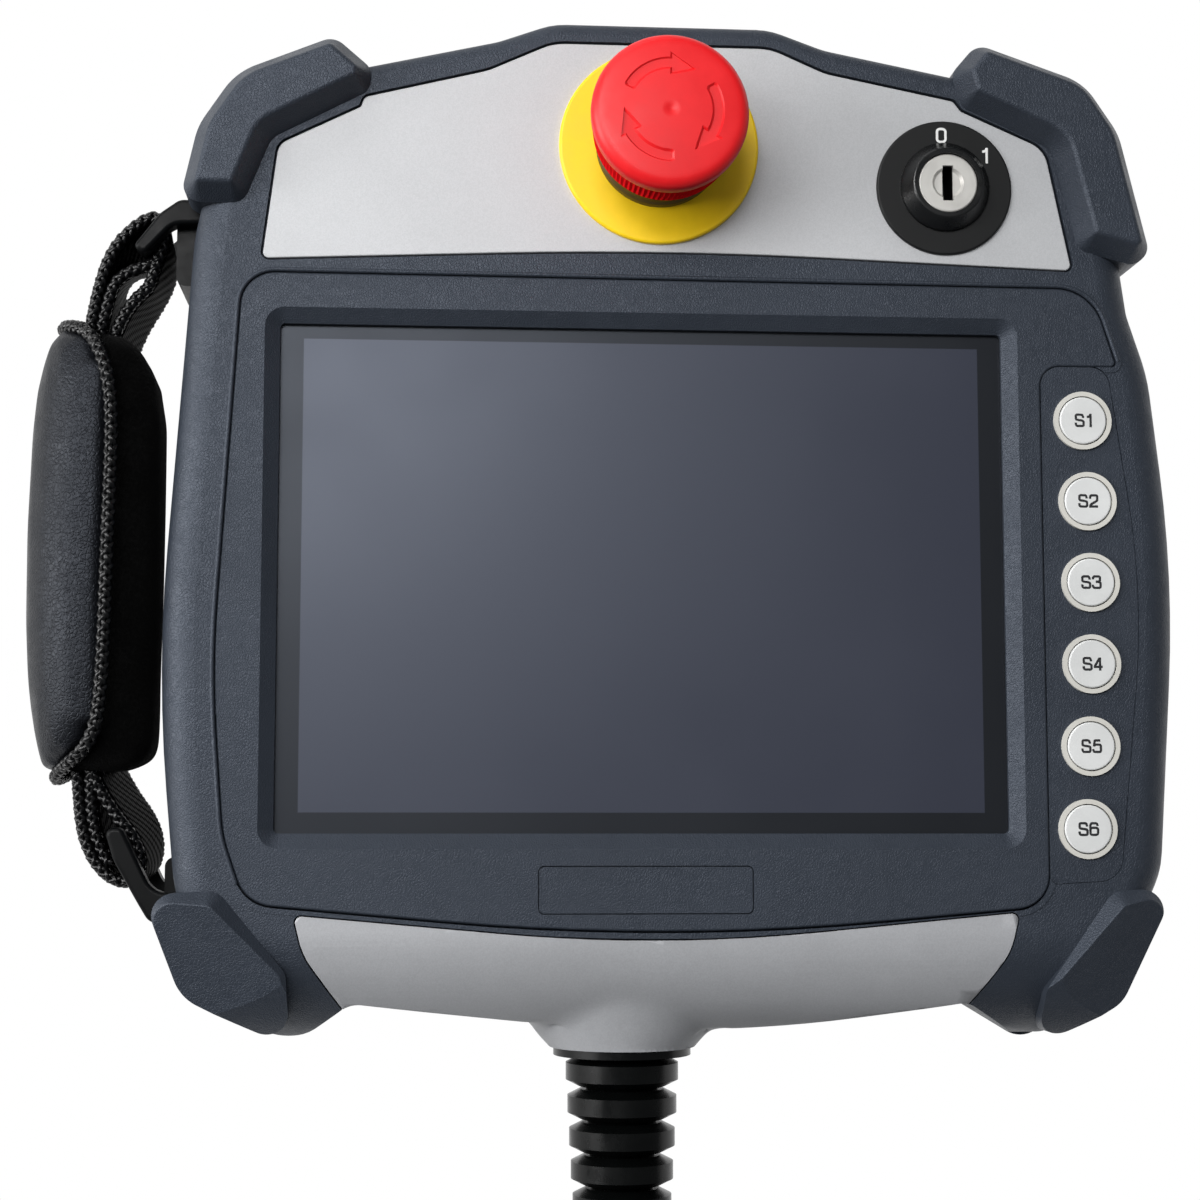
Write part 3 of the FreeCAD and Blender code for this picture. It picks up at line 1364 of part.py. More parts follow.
os.makedirs("parts", exist_ok=True)
for name, obj in NODES.items():
    obj.Shape.exportStep(f"parts/{name}.step")
    bounds = obj.Shape.BoundBox
    print(f"{name}: {len(obj.Shape.Solids)} solid(s), {obj.Shape.Volume:.0f} mm3, "
          f"x {bounds.XMin:.1f} {bounds.XMax:.1f} y {bounds.YMin:.1f} {bounds.YMax:.1f} "
          f"z {bounds.ZMin:.1f} {bounds.ZMax:.1f}")
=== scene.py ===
import math

import bmesh
import bpy
from mathutils import Matrix, Vector


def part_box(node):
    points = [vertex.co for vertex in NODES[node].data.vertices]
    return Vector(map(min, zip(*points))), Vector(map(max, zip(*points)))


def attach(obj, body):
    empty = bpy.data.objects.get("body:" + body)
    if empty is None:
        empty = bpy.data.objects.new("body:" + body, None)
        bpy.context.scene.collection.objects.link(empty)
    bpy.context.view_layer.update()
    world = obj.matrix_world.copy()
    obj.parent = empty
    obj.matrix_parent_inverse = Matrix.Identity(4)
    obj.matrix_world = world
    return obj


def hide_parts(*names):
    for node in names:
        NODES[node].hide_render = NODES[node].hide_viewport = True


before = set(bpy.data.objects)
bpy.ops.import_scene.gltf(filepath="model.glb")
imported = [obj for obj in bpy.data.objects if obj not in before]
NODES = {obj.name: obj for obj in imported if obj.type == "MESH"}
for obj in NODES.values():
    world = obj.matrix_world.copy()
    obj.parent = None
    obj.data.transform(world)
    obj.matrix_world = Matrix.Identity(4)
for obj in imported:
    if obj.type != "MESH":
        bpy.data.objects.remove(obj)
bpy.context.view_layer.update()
MM = 0.001

scene = bpy.context.scene
scene.view_settings.view_transform = "Standard"
scene.view_settings.look = "None"


# Camera, above the panel and tipped as in the photo

CAMERA_PLACE = (-46.8, -46.0, 496.0)
CAMERA_FORWARD = (0.0746, 0.1013, -0.9921)
CAMERA_RIGHT = (0.9972, 0.0, 0.0750)
camera_data = bpy.data.cameras.new("camera")
camera_data.lens = 67.5
camera_data.sensor_width = 36
camera_data.clip_start = 0.01
camera = bpy.data.objects.new("camera", camera_data)
scene.collection.objects.link(camera)
forward = Vector(CAMERA_FORWARD).normalized()
right = Vector(CAMERA_RIGHT)
right = (right - forward * right.dot(forward)).normalized()
turn = Matrix((right, right.cross(forward), -forward)).transposed().to_4x4()
camera.matrix_world = Matrix.Translation([v * MM for v in CAMERA_PLACE]) @ turn
scene.camera = camera


# Ways to write node trees

class Graph:
    """Short ways to add and link nodes in a tree."""

    def __init__(self, tree):
        self.tree = tree

    def add(self, kind, settings=None, **inputs):
        node = self.tree.nodes.new(kind)
        for key, value in (settings or {}).items():
            setattr(node, key, value)
        for key, value in inputs.items():
            self.feed(node, key.replace("_", " "), value)
        return node

    def feed(self, node, socket, value):
        target = node.inputs[socket]
        if isinstance(value, bpy.types.NodeSocket):
            self.tree.links.new(value, target)
        else:
            target.default_value = value

    def math(self, operation, *values):
        node = self.add("ShaderNodeMath", {"operation": operation})
        for i, value in enumerate(values):
            self.feed(node, i, value)
        return node.outputs[0]

    def span(self, value, low, high, start=0.0, end=1.0):
        """A value mapped smoothly from one range to another."""
        node = self.add("ShaderNodeMapRange", {"interpolation_type": "SMOOTHSTEP"}, Value=value)
        for socket, number in zip(("From Min", "From Max", "To Min", "To Max"), (low, high, start, end)):
            self.feed(node, socket, number)
        return node.outputs[0]

    def blend(self, share, first, second):
        """The first colour, going over to the second as the share rises to 1."""
        node = self.add("ShaderNodeMix", {"data_type": "RGBA"})
        self.feed(node, 0, share)
        self.feed(node, 6, first)
        self.feed(node, 7, second)
        return node.outputs[2]

    def noise(self, vector, size, detail=2.0, roughness=0.5):
        """A noise value with features of about the given size in metres."""
        node = self.add("ShaderNodeTexNoise", Vector=vector, Scale=1 / size, Detail=detail,
                        Roughness=roughness)
        return node.outputs[0]


def linear(code):
    """A linear colour from a hex code."""
    values = [int(code[i:i + 2], 16) / 255 for i in (1, 3, 5)]
    return tuple(v / 12.92 if v <= 0.04045 else ((v + 0.055) / 1.055) ** 2.4 for v in values) + (1.0,)


def material(name):
    made = bpy.data.materials.new(name)
    made.use_nodes = True
    made.node_tree.nodes.clear()
    return made, Graph(made.node_tree)


def group(name, inputs, outputs):
    """An empty shader group: its tree's graph, its input and its output node."""
    tree = bpy.data.node_groups.new(name, "ShaderNodeTree")
    for title, kind, value in inputs:
        socket = tree.interface.new_socket(title, in_out="INPUT", socket_type=kind)
        if value is not None:
            socket.default_value = value
    for title, kind in outputs:
        tree.interface.new_socket(title, in_out="OUTPUT", socket_type=kind)
    g = Graph(tree)
    return tree, g, g.add("NodeGroupInput"), g.add("NodeGroupOutput")


# Shared effects

def make_leather_grain():
    """Rounded cells with creases between them, as moulded or real leather grain has."""
    tree, g, given, result = group(
        "leather_grain",
        [("Vector", "NodeSocketVector", None), ("Scale", "NodeSocketFloat", 800.0)],
        [("Height", "NodeSocketFloat")],
    )
    wobble = g.add("ShaderNodeTexNoise", Vector=given.outputs["Vector"], Scale=420.0, Detail=2.0)
    moved = g.add("ShaderNodeVectorMath", {"operation": "SCALE"}, Scale=0.0016)
    g.feed(moved, 0, wobble.outputs[1])
    bent = g.add("ShaderNodeVectorMath", {"operation": "ADD"})
    g.feed(bent, 0, given.outputs["Vector"])
    g.feed(bent, 1, moved.outputs[0])
    cells = g.add("ShaderNodeTexVoronoi", {"feature": "DISTANCE_TO_EDGE"},
                  Vector=bent.outputs[0], Scale=given.outputs["Scale"])
    crease = g.span(cells.outputs[0], 0.0, 0.22)
    fine = g.add("ShaderNodeTexNoise", Vector=given.outputs["Vector"], Scale=3800.0, Detail=2.0)
    height = g.math("ADD", crease, g.math("MULTIPLY", fine.outputs[0], 0.35))
    g.feed(result, "Height", height)
    return tree


def make_spark_grain():
    """Fine even sand, as spark-eroded moulds and metal paint leave."""
    tree, g, given, result = group(
        "spark_grain",
        [("Vector", "NodeSocketVector", None), ("Scale", "NodeSocketFloat", 2500.0)],
        [("Height", "NodeSocketFloat")],
    )
    sand = g.add("ShaderNodeTexNoise", Vector=given.outputs["Vector"], Scale=given.outputs["Scale"],
                 Detail=3.0, Roughness=0.7)
    g.feed(result, "Height", sand.outputs[0])
    return tree


def make_handling():
    """Slow changes of tone and gloss from use: smudges and faint dust."""
    tree, g, given, result = group(
        "handling",
        [("Vector", "NodeSocketVector", None), ("Color", "NodeSocketColor", None),
         ("Gloss", "NodeSocketFloat", 0.5), ("Use", "NodeSocketFloat", 1.0)],
        [("Color", "NodeSocketColor"), ("Roughness", "NodeSocketFloat")],
    )
    slow = g.noise(given.outputs["Vector"], 0.045, 3.0, 0.6)
    spots = g.noise(given.outputs["Vector"], 0.006, 4.0, 0.65)
    change = g.math("ADD", g.span(slow, 0.3, 0.7, -0.06, 0.06), g.span(spots, 0.35, 0.7, -0.03, 0.03))
    tone = g.math("ADD", g.math("MULTIPLY", change, given.outputs["Use"]), 1.0)
    shade = g.add("ShaderNodeVectorMath", {"operation": "SCALE"}, Scale=tone)
    g.feed(shade, 0, given.outputs["Color"])
    g.feed(result, "Color", shade.outputs[0])
    smudge = g.math("MULTIPLY", g.span(spots, 0.3, 0.7, -0.05, 0.05), given.outputs["Use"])
    g.feed(result, "Roughness", g.math("ADD", given.outputs["Gloss"], smudge))
    return tree


# in metres: one rib along the webbing, one yarn across it; the ribs' slant is along per across
WEB_PITCH, YARN_PITCH = 0.0022, 0.0012
WEB_SLANT = 0.55


def make_web_weave():
    """Ribs that run slantwise over a band, from its lengthwise and crosswise attributes in metres, with
    painted shade in the grooves between them.
    """
    tree, g, given, result = group(
        "web_weave",
        [("Along", "NodeSocketFloat", 0.0), ("Across", "NodeSocketFloat", 0.0)],
        [("Height", "NodeSocketFloat"), ("Shade", "NodeSocketFloat")],
    )
    slant = g.math("ADD", given.outputs["Along"], g.math("MULTIPLY", given.outputs["Across"], WEB_SLANT))
    ribs = g.math("SINE", g.math("MULTIPLY", g.math("DIVIDE", slant, WEB_PITCH), 2 * math.pi))
    yarn = g.math("SINE", g.math("MULTIPLY", given.outputs["Across"], 2 * math.pi / YARN_PITCH))
    height = g.math("ADD", ribs, g.math("MULTIPLY", yarn, 0.4))
    g.feed(result, "Height", g.span(height, -1.2, 1.2))
    # painted shade: low along the grooves between the ribs, where woven() darkens the colour
    g.feed(result, "Shade", g.span(ribs, -1.0, 0.6, 0.45, 1.0))
    return tree


LEATHER_GRAIN = make_leather_grain()
SPARK_GRAIN = make_spark_grain()
HANDLING = make_handling()
WEB_WEAVE = make_web_weave()


# Materials

def place_of(g):
    return g.add("ShaderNodeTexCoord").outputs["Object"]


def surface(g, **inputs):
    shader = g.add("ShaderNodeBsdfPrincipled", **inputs)
    out = g.add("ShaderNodeOutputMaterial")
    g.tree.links.new(shader.outputs[0], out.inputs[0])
    return shader


def handled(g, place, color, gloss, use=1.0):
    node = g.add("ShaderNodeGroup", {"node_tree": HANDLING}, Vector=place, Color=color, Gloss=gloss, Use=use)
    return node.outputs["Color"], node.outputs["Roughness"]


def bumped(g, shader, height, distance, strength=1.0):
    bump = g.add("ShaderNodeBump", Height=height, Strength=strength, Distance=distance)
    g.feed(shader, "Normal", bump.outputs[0])


PLAIN_TINT = (1.0, 1.0, 1.0, 1.0)
COOL_TINT = (0.79, 0.86, 1.0, 1.0)


def moulded(name, color, gloss, cell, depth, specular=0.5, tint=PLAIN_TINT):
    """Plastic with a moulded leather grain."""
    made, g = material(name)
    place = place_of(g)
    tone, rough = handled(g, place, linear(color), gloss)
    shader = surface(g, Base_Color=tone, Roughness=rough)
    shader.inputs["Specular IOR Level"].default_value = specular
    shader.inputs["Specular Tint"].default_value = tint
    grain = g.add("ShaderNodeGroup", {"node_tree": LEATHER_GRAIN}, Vector=place, Scale=1 / cell)
    bumped(g, shader, grain.outputs["Height"], depth)
    return made


def sanded(name, color, gloss, size, depth, metallic=0.0, specular=0.5):
    """Plastic or paint with a fine even grain."""
    made, g = material(name)
    place = place_of(g)
    tone, rough = handled(g, place, linear(color), gloss)
    shader = surface(g, Base_Color=tone, Roughness=rough, Metallic=metallic)
    shader.inputs["Specular IOR Level"].default_value = specular
    grain = g.add("ShaderNodeGroup", {"node_tree": SPARK_GRAIN}, Vector=place, Scale=1 / size)
    bumped(g, shader, grain.outputs["Height"], depth)
    return made


def flaked(name, color, gloss):
    """Silver paint: fine flakes that catch the light in a grey binder."""
    made, g = material(name)
    place = place_of(g)
    flakes = g.add("ShaderNodeTexVoronoi", Vector=place, Scale=1 / (0.22 * MM))
    glint = g.span(flakes.outputs["Color"], 0.1, 0.9, 0.95, 1.05)
    tint = g.add("ShaderNodeVectorMath", {"operation": "SCALE"}, Scale=glint)
    g.feed(tint, 0, linear(color)[:3])
    tone, rough = handled(g, place, tint.outputs[0], gloss, 0.4)
    shader = surface(g, Base_Color=tone, Roughness=rough, Metallic=0.16)
    grain = g.add("ShaderNodeGroup", {"node_tree": SPARK_GRAIN}, Vector=place, Scale=1 / (0.3 * MM))
    bumped(g, shader, grain.outputs["Height"], 0.008 * MM)
    return made


SCREEN_CENTRE = (-3.6, 5.3)
SCREEN_HALF = (69.5, 48.0)


def touch_screen():
    """Matte glass with a dark printed border and the display showing grey through the rest."""
    made, g = material("touch_screen")
    place = place_of(g)
    axes = g.add("ShaderNodeSeparateXYZ", Vector=place)
    over = []
    for axis, centre, half in zip("XY", SCREEN_CENTRE, SCREEN_HALF):
        away = g.math("ABSOLUTE", g.math("SUBTRACT", axes.outputs[axis], centre * MM))
        over.append(g.math("SUBTRACT", away, half * MM))
    edge = g.math("MAXIMUM", *over)
    border = g.span(edge, -0.12 * MM, 0.12 * MM)
    color = g.blend(border, linear("#252733"), linear("#0c0d0f"))
    haze = g.noise(place, 0.05, 3.0)
    rough = g.span(haze, 0.3, 0.7, 0.37, 0.43)
    shader = surface(g, Base_Color=color, Roughness=rough)
    g.feed(shader, "Specular IOR Level", g.span(border, 0.0, 1.0, 0.72, 0.46))
    shader.inputs["Specular Tint"].default_value = COOL_TINT
    grain = g.add("ShaderNodeGroup", {"node_tree": SPARK_GRAIN}, Vector=place, Scale=1 / (0.12 * MM))
    bumped(g, shader, grain.outputs["Height"], 0.002 * MM)
    return made


STOP_AXIS = (-0.8, 94.0)
HEAD_TOP = 71.1
SKIRT_LOW, SKIRT_HIGH = 56.8, 64.6


def stop_plastic():
    """Red plastic, duller on the skirt than on the cap."""
    made, g = material("stop_plastic")
    place = place_of(g)
    axes = g.add("ShaderNodeSeparateXYZ", Vector=place)
    tone, rough = handled(g, place, linear("#dc161c"), 0.42)
    shader = surface(g, Base_Color=tone, Roughness=rough)
    cap = g.span(axes.outputs["Z"], SKIRT_HIGH * MM, (SKIRT_HIGH + 1.5) * MM, 0.0, 0.36)
    g.feed(shader, "Specular IOR Level", cap)
    grain = g.add("ShaderNodeGroup", {"node_tree": SPARK_GRAIN}, Vector=place, Scale=1 / (0.3 * MM))
    bumped(g, shader, grain.outputs["Height"], 0.012 * MM)
    return made


LOCK_AXIS = (58.7, 86.5)
LOCK_RING = 0.3
SLOT_SHADE_LEVEL = 49.2


def lock_steel():
    """Steel with the fine rings that a lathe leaves about the lock's axis, with painted shade down in its
    slot.
    """
    made, g = material("lock_steel")
    place = place_of(g)
    moved = g.add("ShaderNodeMapping", Vector=place)
    moved.inputs["Location"].default_value = (-LOCK_AXIS[0] * MM, -LOCK_AXIS[1] * MM, 0)
    rings = g.add("ShaderNodeTexWave", {"wave_type": "RINGS", "rings_direction": "Z"},
                  Vector=moved.outputs[0], Scale=1 / (20 * (LOCK_RING * MM)), Distortion=1.2, Detail=2.0)
    axes = g.add("ShaderNodeSeparateXYZ", Vector=place)
    # painted shade: below the slot's level the steel turns near black, as the slot's inside lies in shade
    lit = g.span(axes.outputs["Z"], (SLOT_SHADE_LEVEL - 0.3) * MM, SLOT_SHADE_LEVEL * MM)
    tint = g.blend(lit, linear("#0a0a0a"), linear("#cfcdc8"))
    tone, rough = handled(g, place, tint, 0.45)
    shader = surface(g, Base_Color=tone, Roughness=rough, Metallic=0.55)
    bumped(g, shader, rings.outputs[1], 0.006 * MM)
    return made


def velvet():
    """Deep black pile with a soft sheen."""
    made, g = material("pad_velvet")
    place = place_of(g)
    pile = g.noise(place, 0.0007, 4.0, 0.7)
    brushed = g.noise(place, 0.009, 2.0)
    color = g.blend(g.span(g.math("ADD", pile, g.math("MULTIPLY", brushed, 0.6)), 0.6, 1.1),
                    linear("#020202"), linear("#090909"))
    shader = surface(g, Base_Color=color, Roughness=0.95)
    shader.inputs["Specular IOR Level"].default_value = 0.03
    shader.inputs["Sheen Weight"].default_value = 0.02
    shader.inputs["Sheen Roughness"].default_value = 0.5
    bumped(g, shader, pile, 0.4 * MM)
    return made


def woven(name, color):
    """Nylon webbing that follows its band's own attributes."""
    made, g = material(name)
    along = g.add("ShaderNodeAttribute", {"attribute_name": "along"}).outputs["Fac"]
    across = g.add("ShaderNodeAttribute", {"attribute_name": "across"}).outputs["Fac"]
    weave = g.add("ShaderNodeGroup", {"node_tree": WEB_WEAVE}, Along=along, Across=across)
    # painted shade: the webbing's colour darkens to about a third in the grooves between its ribs
    dark = tuple(0.35 * v for v in linear(color)[:3]) + (1.0,)
    shader = surface(g, Base_Color=g.blend(weave.outputs["Shade"], dark, linear(color)), Roughness=0.55)
    shader.inputs["Specular IOR Level"].default_value = 0.02
    bumped(g, shader, weave.outputs["Height"], 0.5 * MM)
    return made


LOOKS = {
    "housing": moulded("housing_plastic", "#2b3038", 0.46, 0.6 * MM, 0.036 * MM, 0.42, COOL_TINT),
    "bezel": moulded("bezel_plastic", "#2b3038", 0.47, 0.5 * MM, 0.034 * MM, 0.42, COOL_TINT),
    "silver": flaked("silver_paint", "#b5b6b8", 0.5),
    # the lower cover's silver paint is a darker copy of the plate's: painted shade, as the cover faces away
    # from the top light
    "silver_in_painted_shade": flaked("silver_paint_in_painted_shade", "#a2a3a6", 0.52),
    "black": sanded("black_plastic", "#0b0c0d", 0.28, 0.4 * MM, 0.006 * MM),
    "bracket": sanded("bracket_plastic", "#08090a", 0.42, 0.4 * MM, 0.008 * MM, specular=0.12),
    "matte_black": sanded("legend_black", "#08090a", 0.5, 0.3 * MM, 0.01 * MM, specular=0.34),
    "red": stop_plastic(),
    "yellow": sanded("stop_yellow", "#f4cb00", 0.5, 0.5 * MM, 0.015 * MM),
    # the collar's yellow, darkened to a dull brown: painted shade, as the collar lies in shadow under the
    # red head
    "yellow_in_painted_shade": sanded("stop_collar", "#4a3a10", 0.5, 0.4 * MM, 0.01 * MM),
    "white": sanded("key_white", "#d2d3d2", 0.4, 0.3 * MM, 0.008 * MM),
    "cream": sanded("key_ring", "#c9c7c0", 0.45, 0.3 * MM, 0.008 * MM),
    "ink": sanded("key_ink", "#1c1d1f", 0.5, 0.3 * MM, 0.005 * MM),
    "white_ink": sanded("legend_ink", "#e8e8e6", 0.5, 0.3 * MM, 0.005 * MM),
    "lock": lock_steel(),
    "steel": sanded("zinc_steel", "#b4b5b6", 0.32, 0.3 * MM, 0.01 * MM, metallic=1.0),
    "nickel": sanded("nickel_plate", "#a7a49c", 0.3, 0.2 * MM, 0.0012 * MM, metallic=1.0),
    "glass": touch_screen(),
    "board": sanded("board_lacquer", "#1f5a34", 0.4, 0.6 * MM, 0.02 * MM),
    "rubber": sanded("seal_rubber", "#1b1c1d", 0.6, 0.5 * MM, 0.02 * MM),
    "boot": sanded("boot_rubber", "#050606", 0.27, 0.6 * MM, 0.008 * MM, specular=0.24),
    "sheath": sanded("cable_sheath", "#191a1b", 0.48, 0.5 * MM, 0.02 * MM, specular=0.45),
    "enable": moulded("enable_grip", "#5b5f66", 0.55, 1.4 * MM, 0.06 * MM),
    "leather": moulded("pad_leather", "#0e0f12", 0.42, 0.9 * MM, 0.055 * MM, 0.22, COOL_TINT),
    "velvet": velvet(),
    "yarn": sanded("braid_yarn", "#040405", 0.3, 0.25 * MM, 0.02 * MM, specular=0.36),
    "webbing": woven("webbing_nylon", "#050506"),
    "tie": sanded("tie_fabric", "#1a1b1c", 0.8, 0.5 * MM, 0.08 * MM),
}
DRESS = {
    "housing": ["front_housing", "rear_housing", "guard_upper_left", "guard_upper_right",
                "guard_lower_left", "guard_lower_right"],
    "bezel": ["screen_bezel", "key_panel", "name_plate"],
    "silver": ["control_plate"],
    "silver_in_painted_shade": ["lower_cover"],
    "matte_black": ["lock_legend"],
    "black": ["lock_bezel", "stop_nut", "lock_nut", "stop_contacts", "lock_contacts", "enable_switch",
              "key_switches", "plug_insert"],
    "bracket": ["strap_bracket_upper", "strap_bracket_lower"],
    "boot": ["cable_gland", "bend_protection"],
    "glass": ["touch_glass", "display_module"],
    "lock": ["lock_cylinder"],
    "steel": ["display_frame", "frame_screws", "rear_screws", "stop_plunger"],
    "nickel": ["plug_shell", "plug_nut"],
    "board": ["main_board", "key_board"],
    "red": ["stop_head"],
    "yellow": ["stop_disc"],
    "yellow_in_painted_shade": ["stop_collar"],
    "white": [f"key_{i}" for i in range(1, 7)],
    "cream": ["key_rings"],
    "rubber": ["housing_seal", "display_gasket", "enable_gasket"],
    "sheath": ["cable_lead", "cable_coil", "cable_tail", "inner_lead"],
    "enable": ["enable_button"],
    "yarn": ["strap_piping"],
    "webbing": ["strap_webbing_upper", "strap_webbing_lower"],
    "velvet": ["strap_pad_lining"],
    "leather": ["strap_pad_cover"],
    "tie": ["coil_tie"],
}
for look, names in DRESS.items():
    for name in names:
        mesh = NODES[name].data
        mesh.materials.clear()
        mesh.materials.append(LOOKS[look])


# Studio

def studio_white(name, tone):
    """White to the camera and in reflections, a plain pale surface for the other rays."""
    made, g = material(name)
    path = g.add("ShaderNodeLightPath")
    seen = g.math("MAXIMUM", path.outputs["Is Camera Ray"], path.outputs["Is Glossy Ray"])
    seen = g.math("MAXIMUM", seen, path.outputs["Is Transmission Ray"])
    glow = g.add("ShaderNodeEmission", Color=(1, 1, 1, 1), Strength=1.0)
    pale = g.add("ShaderNodeBsdfDiffuse", Color=(tone, tone, tone, 1))
    mix = g.add("ShaderNodeMixShader")
    g.feed(mix, 0, seen)
    g.feed(mix, 1, pale.outputs[0])
    g.feed(mix, 2, glow.outputs[0])
    out = g.add("ShaderNodeOutputMaterial")
    g.tree.links.new(mix.outputs[0], out.inputs[0])
    return made


FLOOR_HALF, FLOOR_DROP, FLOOR_TONE = 20, 0.5, 0.45
floor_form = bmesh.new()
bmesh.ops.create_grid(floor_form, x_segments=1, y_segments=1, size=FLOOR_HALF)
bmesh.ops.translate(floor_form, verts=floor_form.verts, vec=(0, 0, -FLOOR_DROP * MM))
floor_mesh = bpy.data.meshes.new("floor")
floor_form.to_mesh(floor_mesh)
floor_form.free()
floor = bpy.data.objects.new("floor", floor_mesh)
scene.collection.objects.link(floor)
floor_mesh.materials.append(studio_white("floor_white", FLOOR_TONE))

world = bpy.data.worlds.new("world")
scene.world = world
world.use_nodes = True
world.node_tree.nodes["Background"].inputs["Color"].default_value = (0.94, 0.97, 1.0, 1)
world.node_tree.nodes["Background"].inputs["Strength"].default_value = 0.17


def softbox(name, place, target, width, height, power):
    light = bpy.data.lights.new(name, "AREA")
    light.shape = "RECTANGLE"
    light.size = width
    light.size_y = height
    light.energy = power
    lamp = bpy.data.objects.new(name, light)
    lamp.location = place
    lamp.rotation_euler = (Vector(target) - Vector(place)).to_track_quat("-Z", "Y").to_euler()
    scene.collection.objects.link(lamp)


softbox("key_light", (-0.62, 0.42, 1.0), (0, 0.02, 0.04), 0.6, 0.5, 7)
softbox("window_light", (-0.2, 0.34, 1.1), (-0.02, 0.02, 0.04), 0.3, 0.3, 4.2)
softbox("left_light", (-1.1, 0.1, 0.45), (0, 0, 0.03), 0.5, 0.9, 12.5)
softbox("right_light", (1.1, 0.2, 0.55), (0.05, 0, 0.03), 0.4, 0.9, 0.4)
softbox("top_light", (-0.4, 1.1, 0.45), (0, 0.05, 0.03), 0.9, 0.3, 2.4)


# Ways to make pieces

def shown(name, mesh, look, body, slot, *stands_for, smooth=40):
    """A finished piece: its mesh at the origin, its look, its body, its slot (not used) and what it stands
    for.
    """
    piece = bpy.data.objects.new(name, mesh)
    scene.collection.objects.link(piece)
    mesh.materials.clear()
    mesh.materials.append(LOOKS[look])
    if smooth:
        mesh.shade_smooth()
        mesh.set_sharp_from_angle(angle=math.radians(smooth))
    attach(piece, body)
    if stands_for:
        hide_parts(*stands_for)
    return piece


def mesh_of(form, name):
    """A mesh from a bmesh in millimetres."""
    bmesh.ops.scale(form, verts=form.verts, vec=(MM, MM, MM))
    mesh = bpy.data.meshes.new(name)
    form.to_mesh(mesh)
    form.free()
    return mesh


def finished(piece):
    """The piece's mesh with its modifiers applied; the piece itself is removed."""
    bpy.context.view_layer.update()
    mesh = bpy.data.meshes.new_from_object(piece.evaluated_get(bpy.context.evaluated_depsgraph_get()))
    bpy.data.objects.remove(piece)
    return mesh


def scratch(data):
    """A temporary object for a mesh or curve."""
    piece = bpy.data.objects.new("scratch", data)
    scene.collection.objects.link(piece)
    return piece


def curve_of(name, radius=0.0, sides=0, steps=12, caps=False):
    """An empty curve that makes a tube where it has a radius."""
    curve = bpy.data.curves.new(name, "CURVE")
    curve.dimensions = "3D"
    curve.bevel_depth = radius
    curve.bevel_resolution = sides
    curve.resolution_u = steps
    curve.use_fill_caps = caps
    return curve


def add_line(curve, kind, places, closed=False):
    """One more line of a curve: through its places (POLY) or guided by them (NURBS)."""
    spline = curve.splines.new(kind)
    spline.points.add(len(places) - 1)
    for point, place in zip(spline.points, places):
        point.co = (*place, 1)
    spline.order_u = min(3, len(places))
    spline.use_cyclic_u = closed
    spline.use_endpoint_u = not closed


def smooth_line(points, closed=False, step=0.4):
    """Even points, in millimetres, on the smooth line that a route's points guide."""
    curve = curve_of("route", steps=24)
    add_line(curve, "NURBS", points, closed)
    line = [v.co.copy() for v in finished(scratch(curve)).vertices]
    if closed:
        line.append(line[0].copy())
    lengths = [0.0]
    for a, b in zip(line, line[1:]):
        lengths.append(lengths[-1] + (b - a).length)
    count = max(round(lengths[-1] / step), 8)
    even = []
    at = 0
    for i in range(count + (not closed)):
        goal = lengths[-1] * i / count
        while lengths[at + 1] < goal and at < len(line) - 2:
            at += 1
        share = (goal - lengths[at]) / max(lengths[at + 1] - lengths[at], 1e-9)
        even.append(line[at].lerp(line[at + 1], share))
    return even, lengths[-1]


BRAID_STRANDS = 3


def braid(name, points, face, radius, pitch, closed=False):
    """A mesh of a braided cord: strands that wind both ways and pass over and under each other."""
    line, length = smooth_line(points, closed)
    strand = 0.36 * radius
    core = radius - 1.35 * strand
    lift = 0.35 * strand
    turns = round(length / pitch) if closed else length / pitch
    curve = curve_of(name, strand, 1, caps=not closed)
    count = len(line)
    for hand in (1, -1):
        for number in range(BRAID_STRANDS):
            spots = []
            for i, here in enumerate(line):
                before = line[i - 1] if i or closed else here
                after = line[(i + 1) % count] if i < count - 1 or closed else here
                heading = (after - before).normalized()
                facing = (Vector(face) - heading * heading.dot(Vector(face))).normalized()
                side = heading.cross(facing)
                wound = 2 * math.pi * turns * i / (count if closed else count - 1)
                angle = hand * wound + 2 * math.pi * number / BRAID_STRANDS
                reach = core + hand * lift * math.cos(BRAID_STRANDS * wound)
                spots.append(here + (facing * math.cos(angle) + side * math.sin(angle)) * reach)
            add_line(curve, "POLY", spots, closed)
    cord = finished(scratch(curve))
    cord.transform(Matrix.Scale(MM, 4))
    return cord


def lathe(profile, steps):
    """A bmesh of a profile of (radius, height) points, turned about the z axis."""
    form = bmesh.new()
    verts = [form.verts.new((radius, 0, height)) for radius, height in profile]
    edges = [form.edges.new(pair) for pair in zip(verts, verts[1:])]
    bmesh.ops.spin(form, geom=verts + edges, cent=(0, 0, 0), axis=(0, 0, 1), angle=2 * math.pi, steps=steps,
                   use_merge=True)
    bmesh.ops.remove_doubles(form, verts=form.verts, dist=1e-4)
    bmesh.ops.recalc_face_normals(form, faces=form.faces)
    return form


def soften(form, edges, offset, segments):
    bmesh.ops.bevel(form, geom=edges, offset=offset, segments=segments, profile=0.5, affect="EDGES",
                    material=-1)


def loft(sections, form=None):
    """A closed skin through loops of points, in a new bmesh or added to a given one."""
    form = form or bmesh.new()
    loops = []
    for points in sections:
        verts = [form.verts.new(p) for p in points]
        loops.append([form.edges.new((a, b)) for a, b in zip(verts, verts[1:] + verts[:1])])
    for first, second in zip(loops, loops[1:]):
        bmesh.ops.bridge_loops(form, edges=first + second)
    for end in (loops[0], loops[-1]):
        bmesh.ops.contextual_create(form, geom=end)
    bmesh.ops.recalc_face_normals(form, faces=form.faces)
    return form


# Emergency stop head with its sunk arrows and ribbed skirt

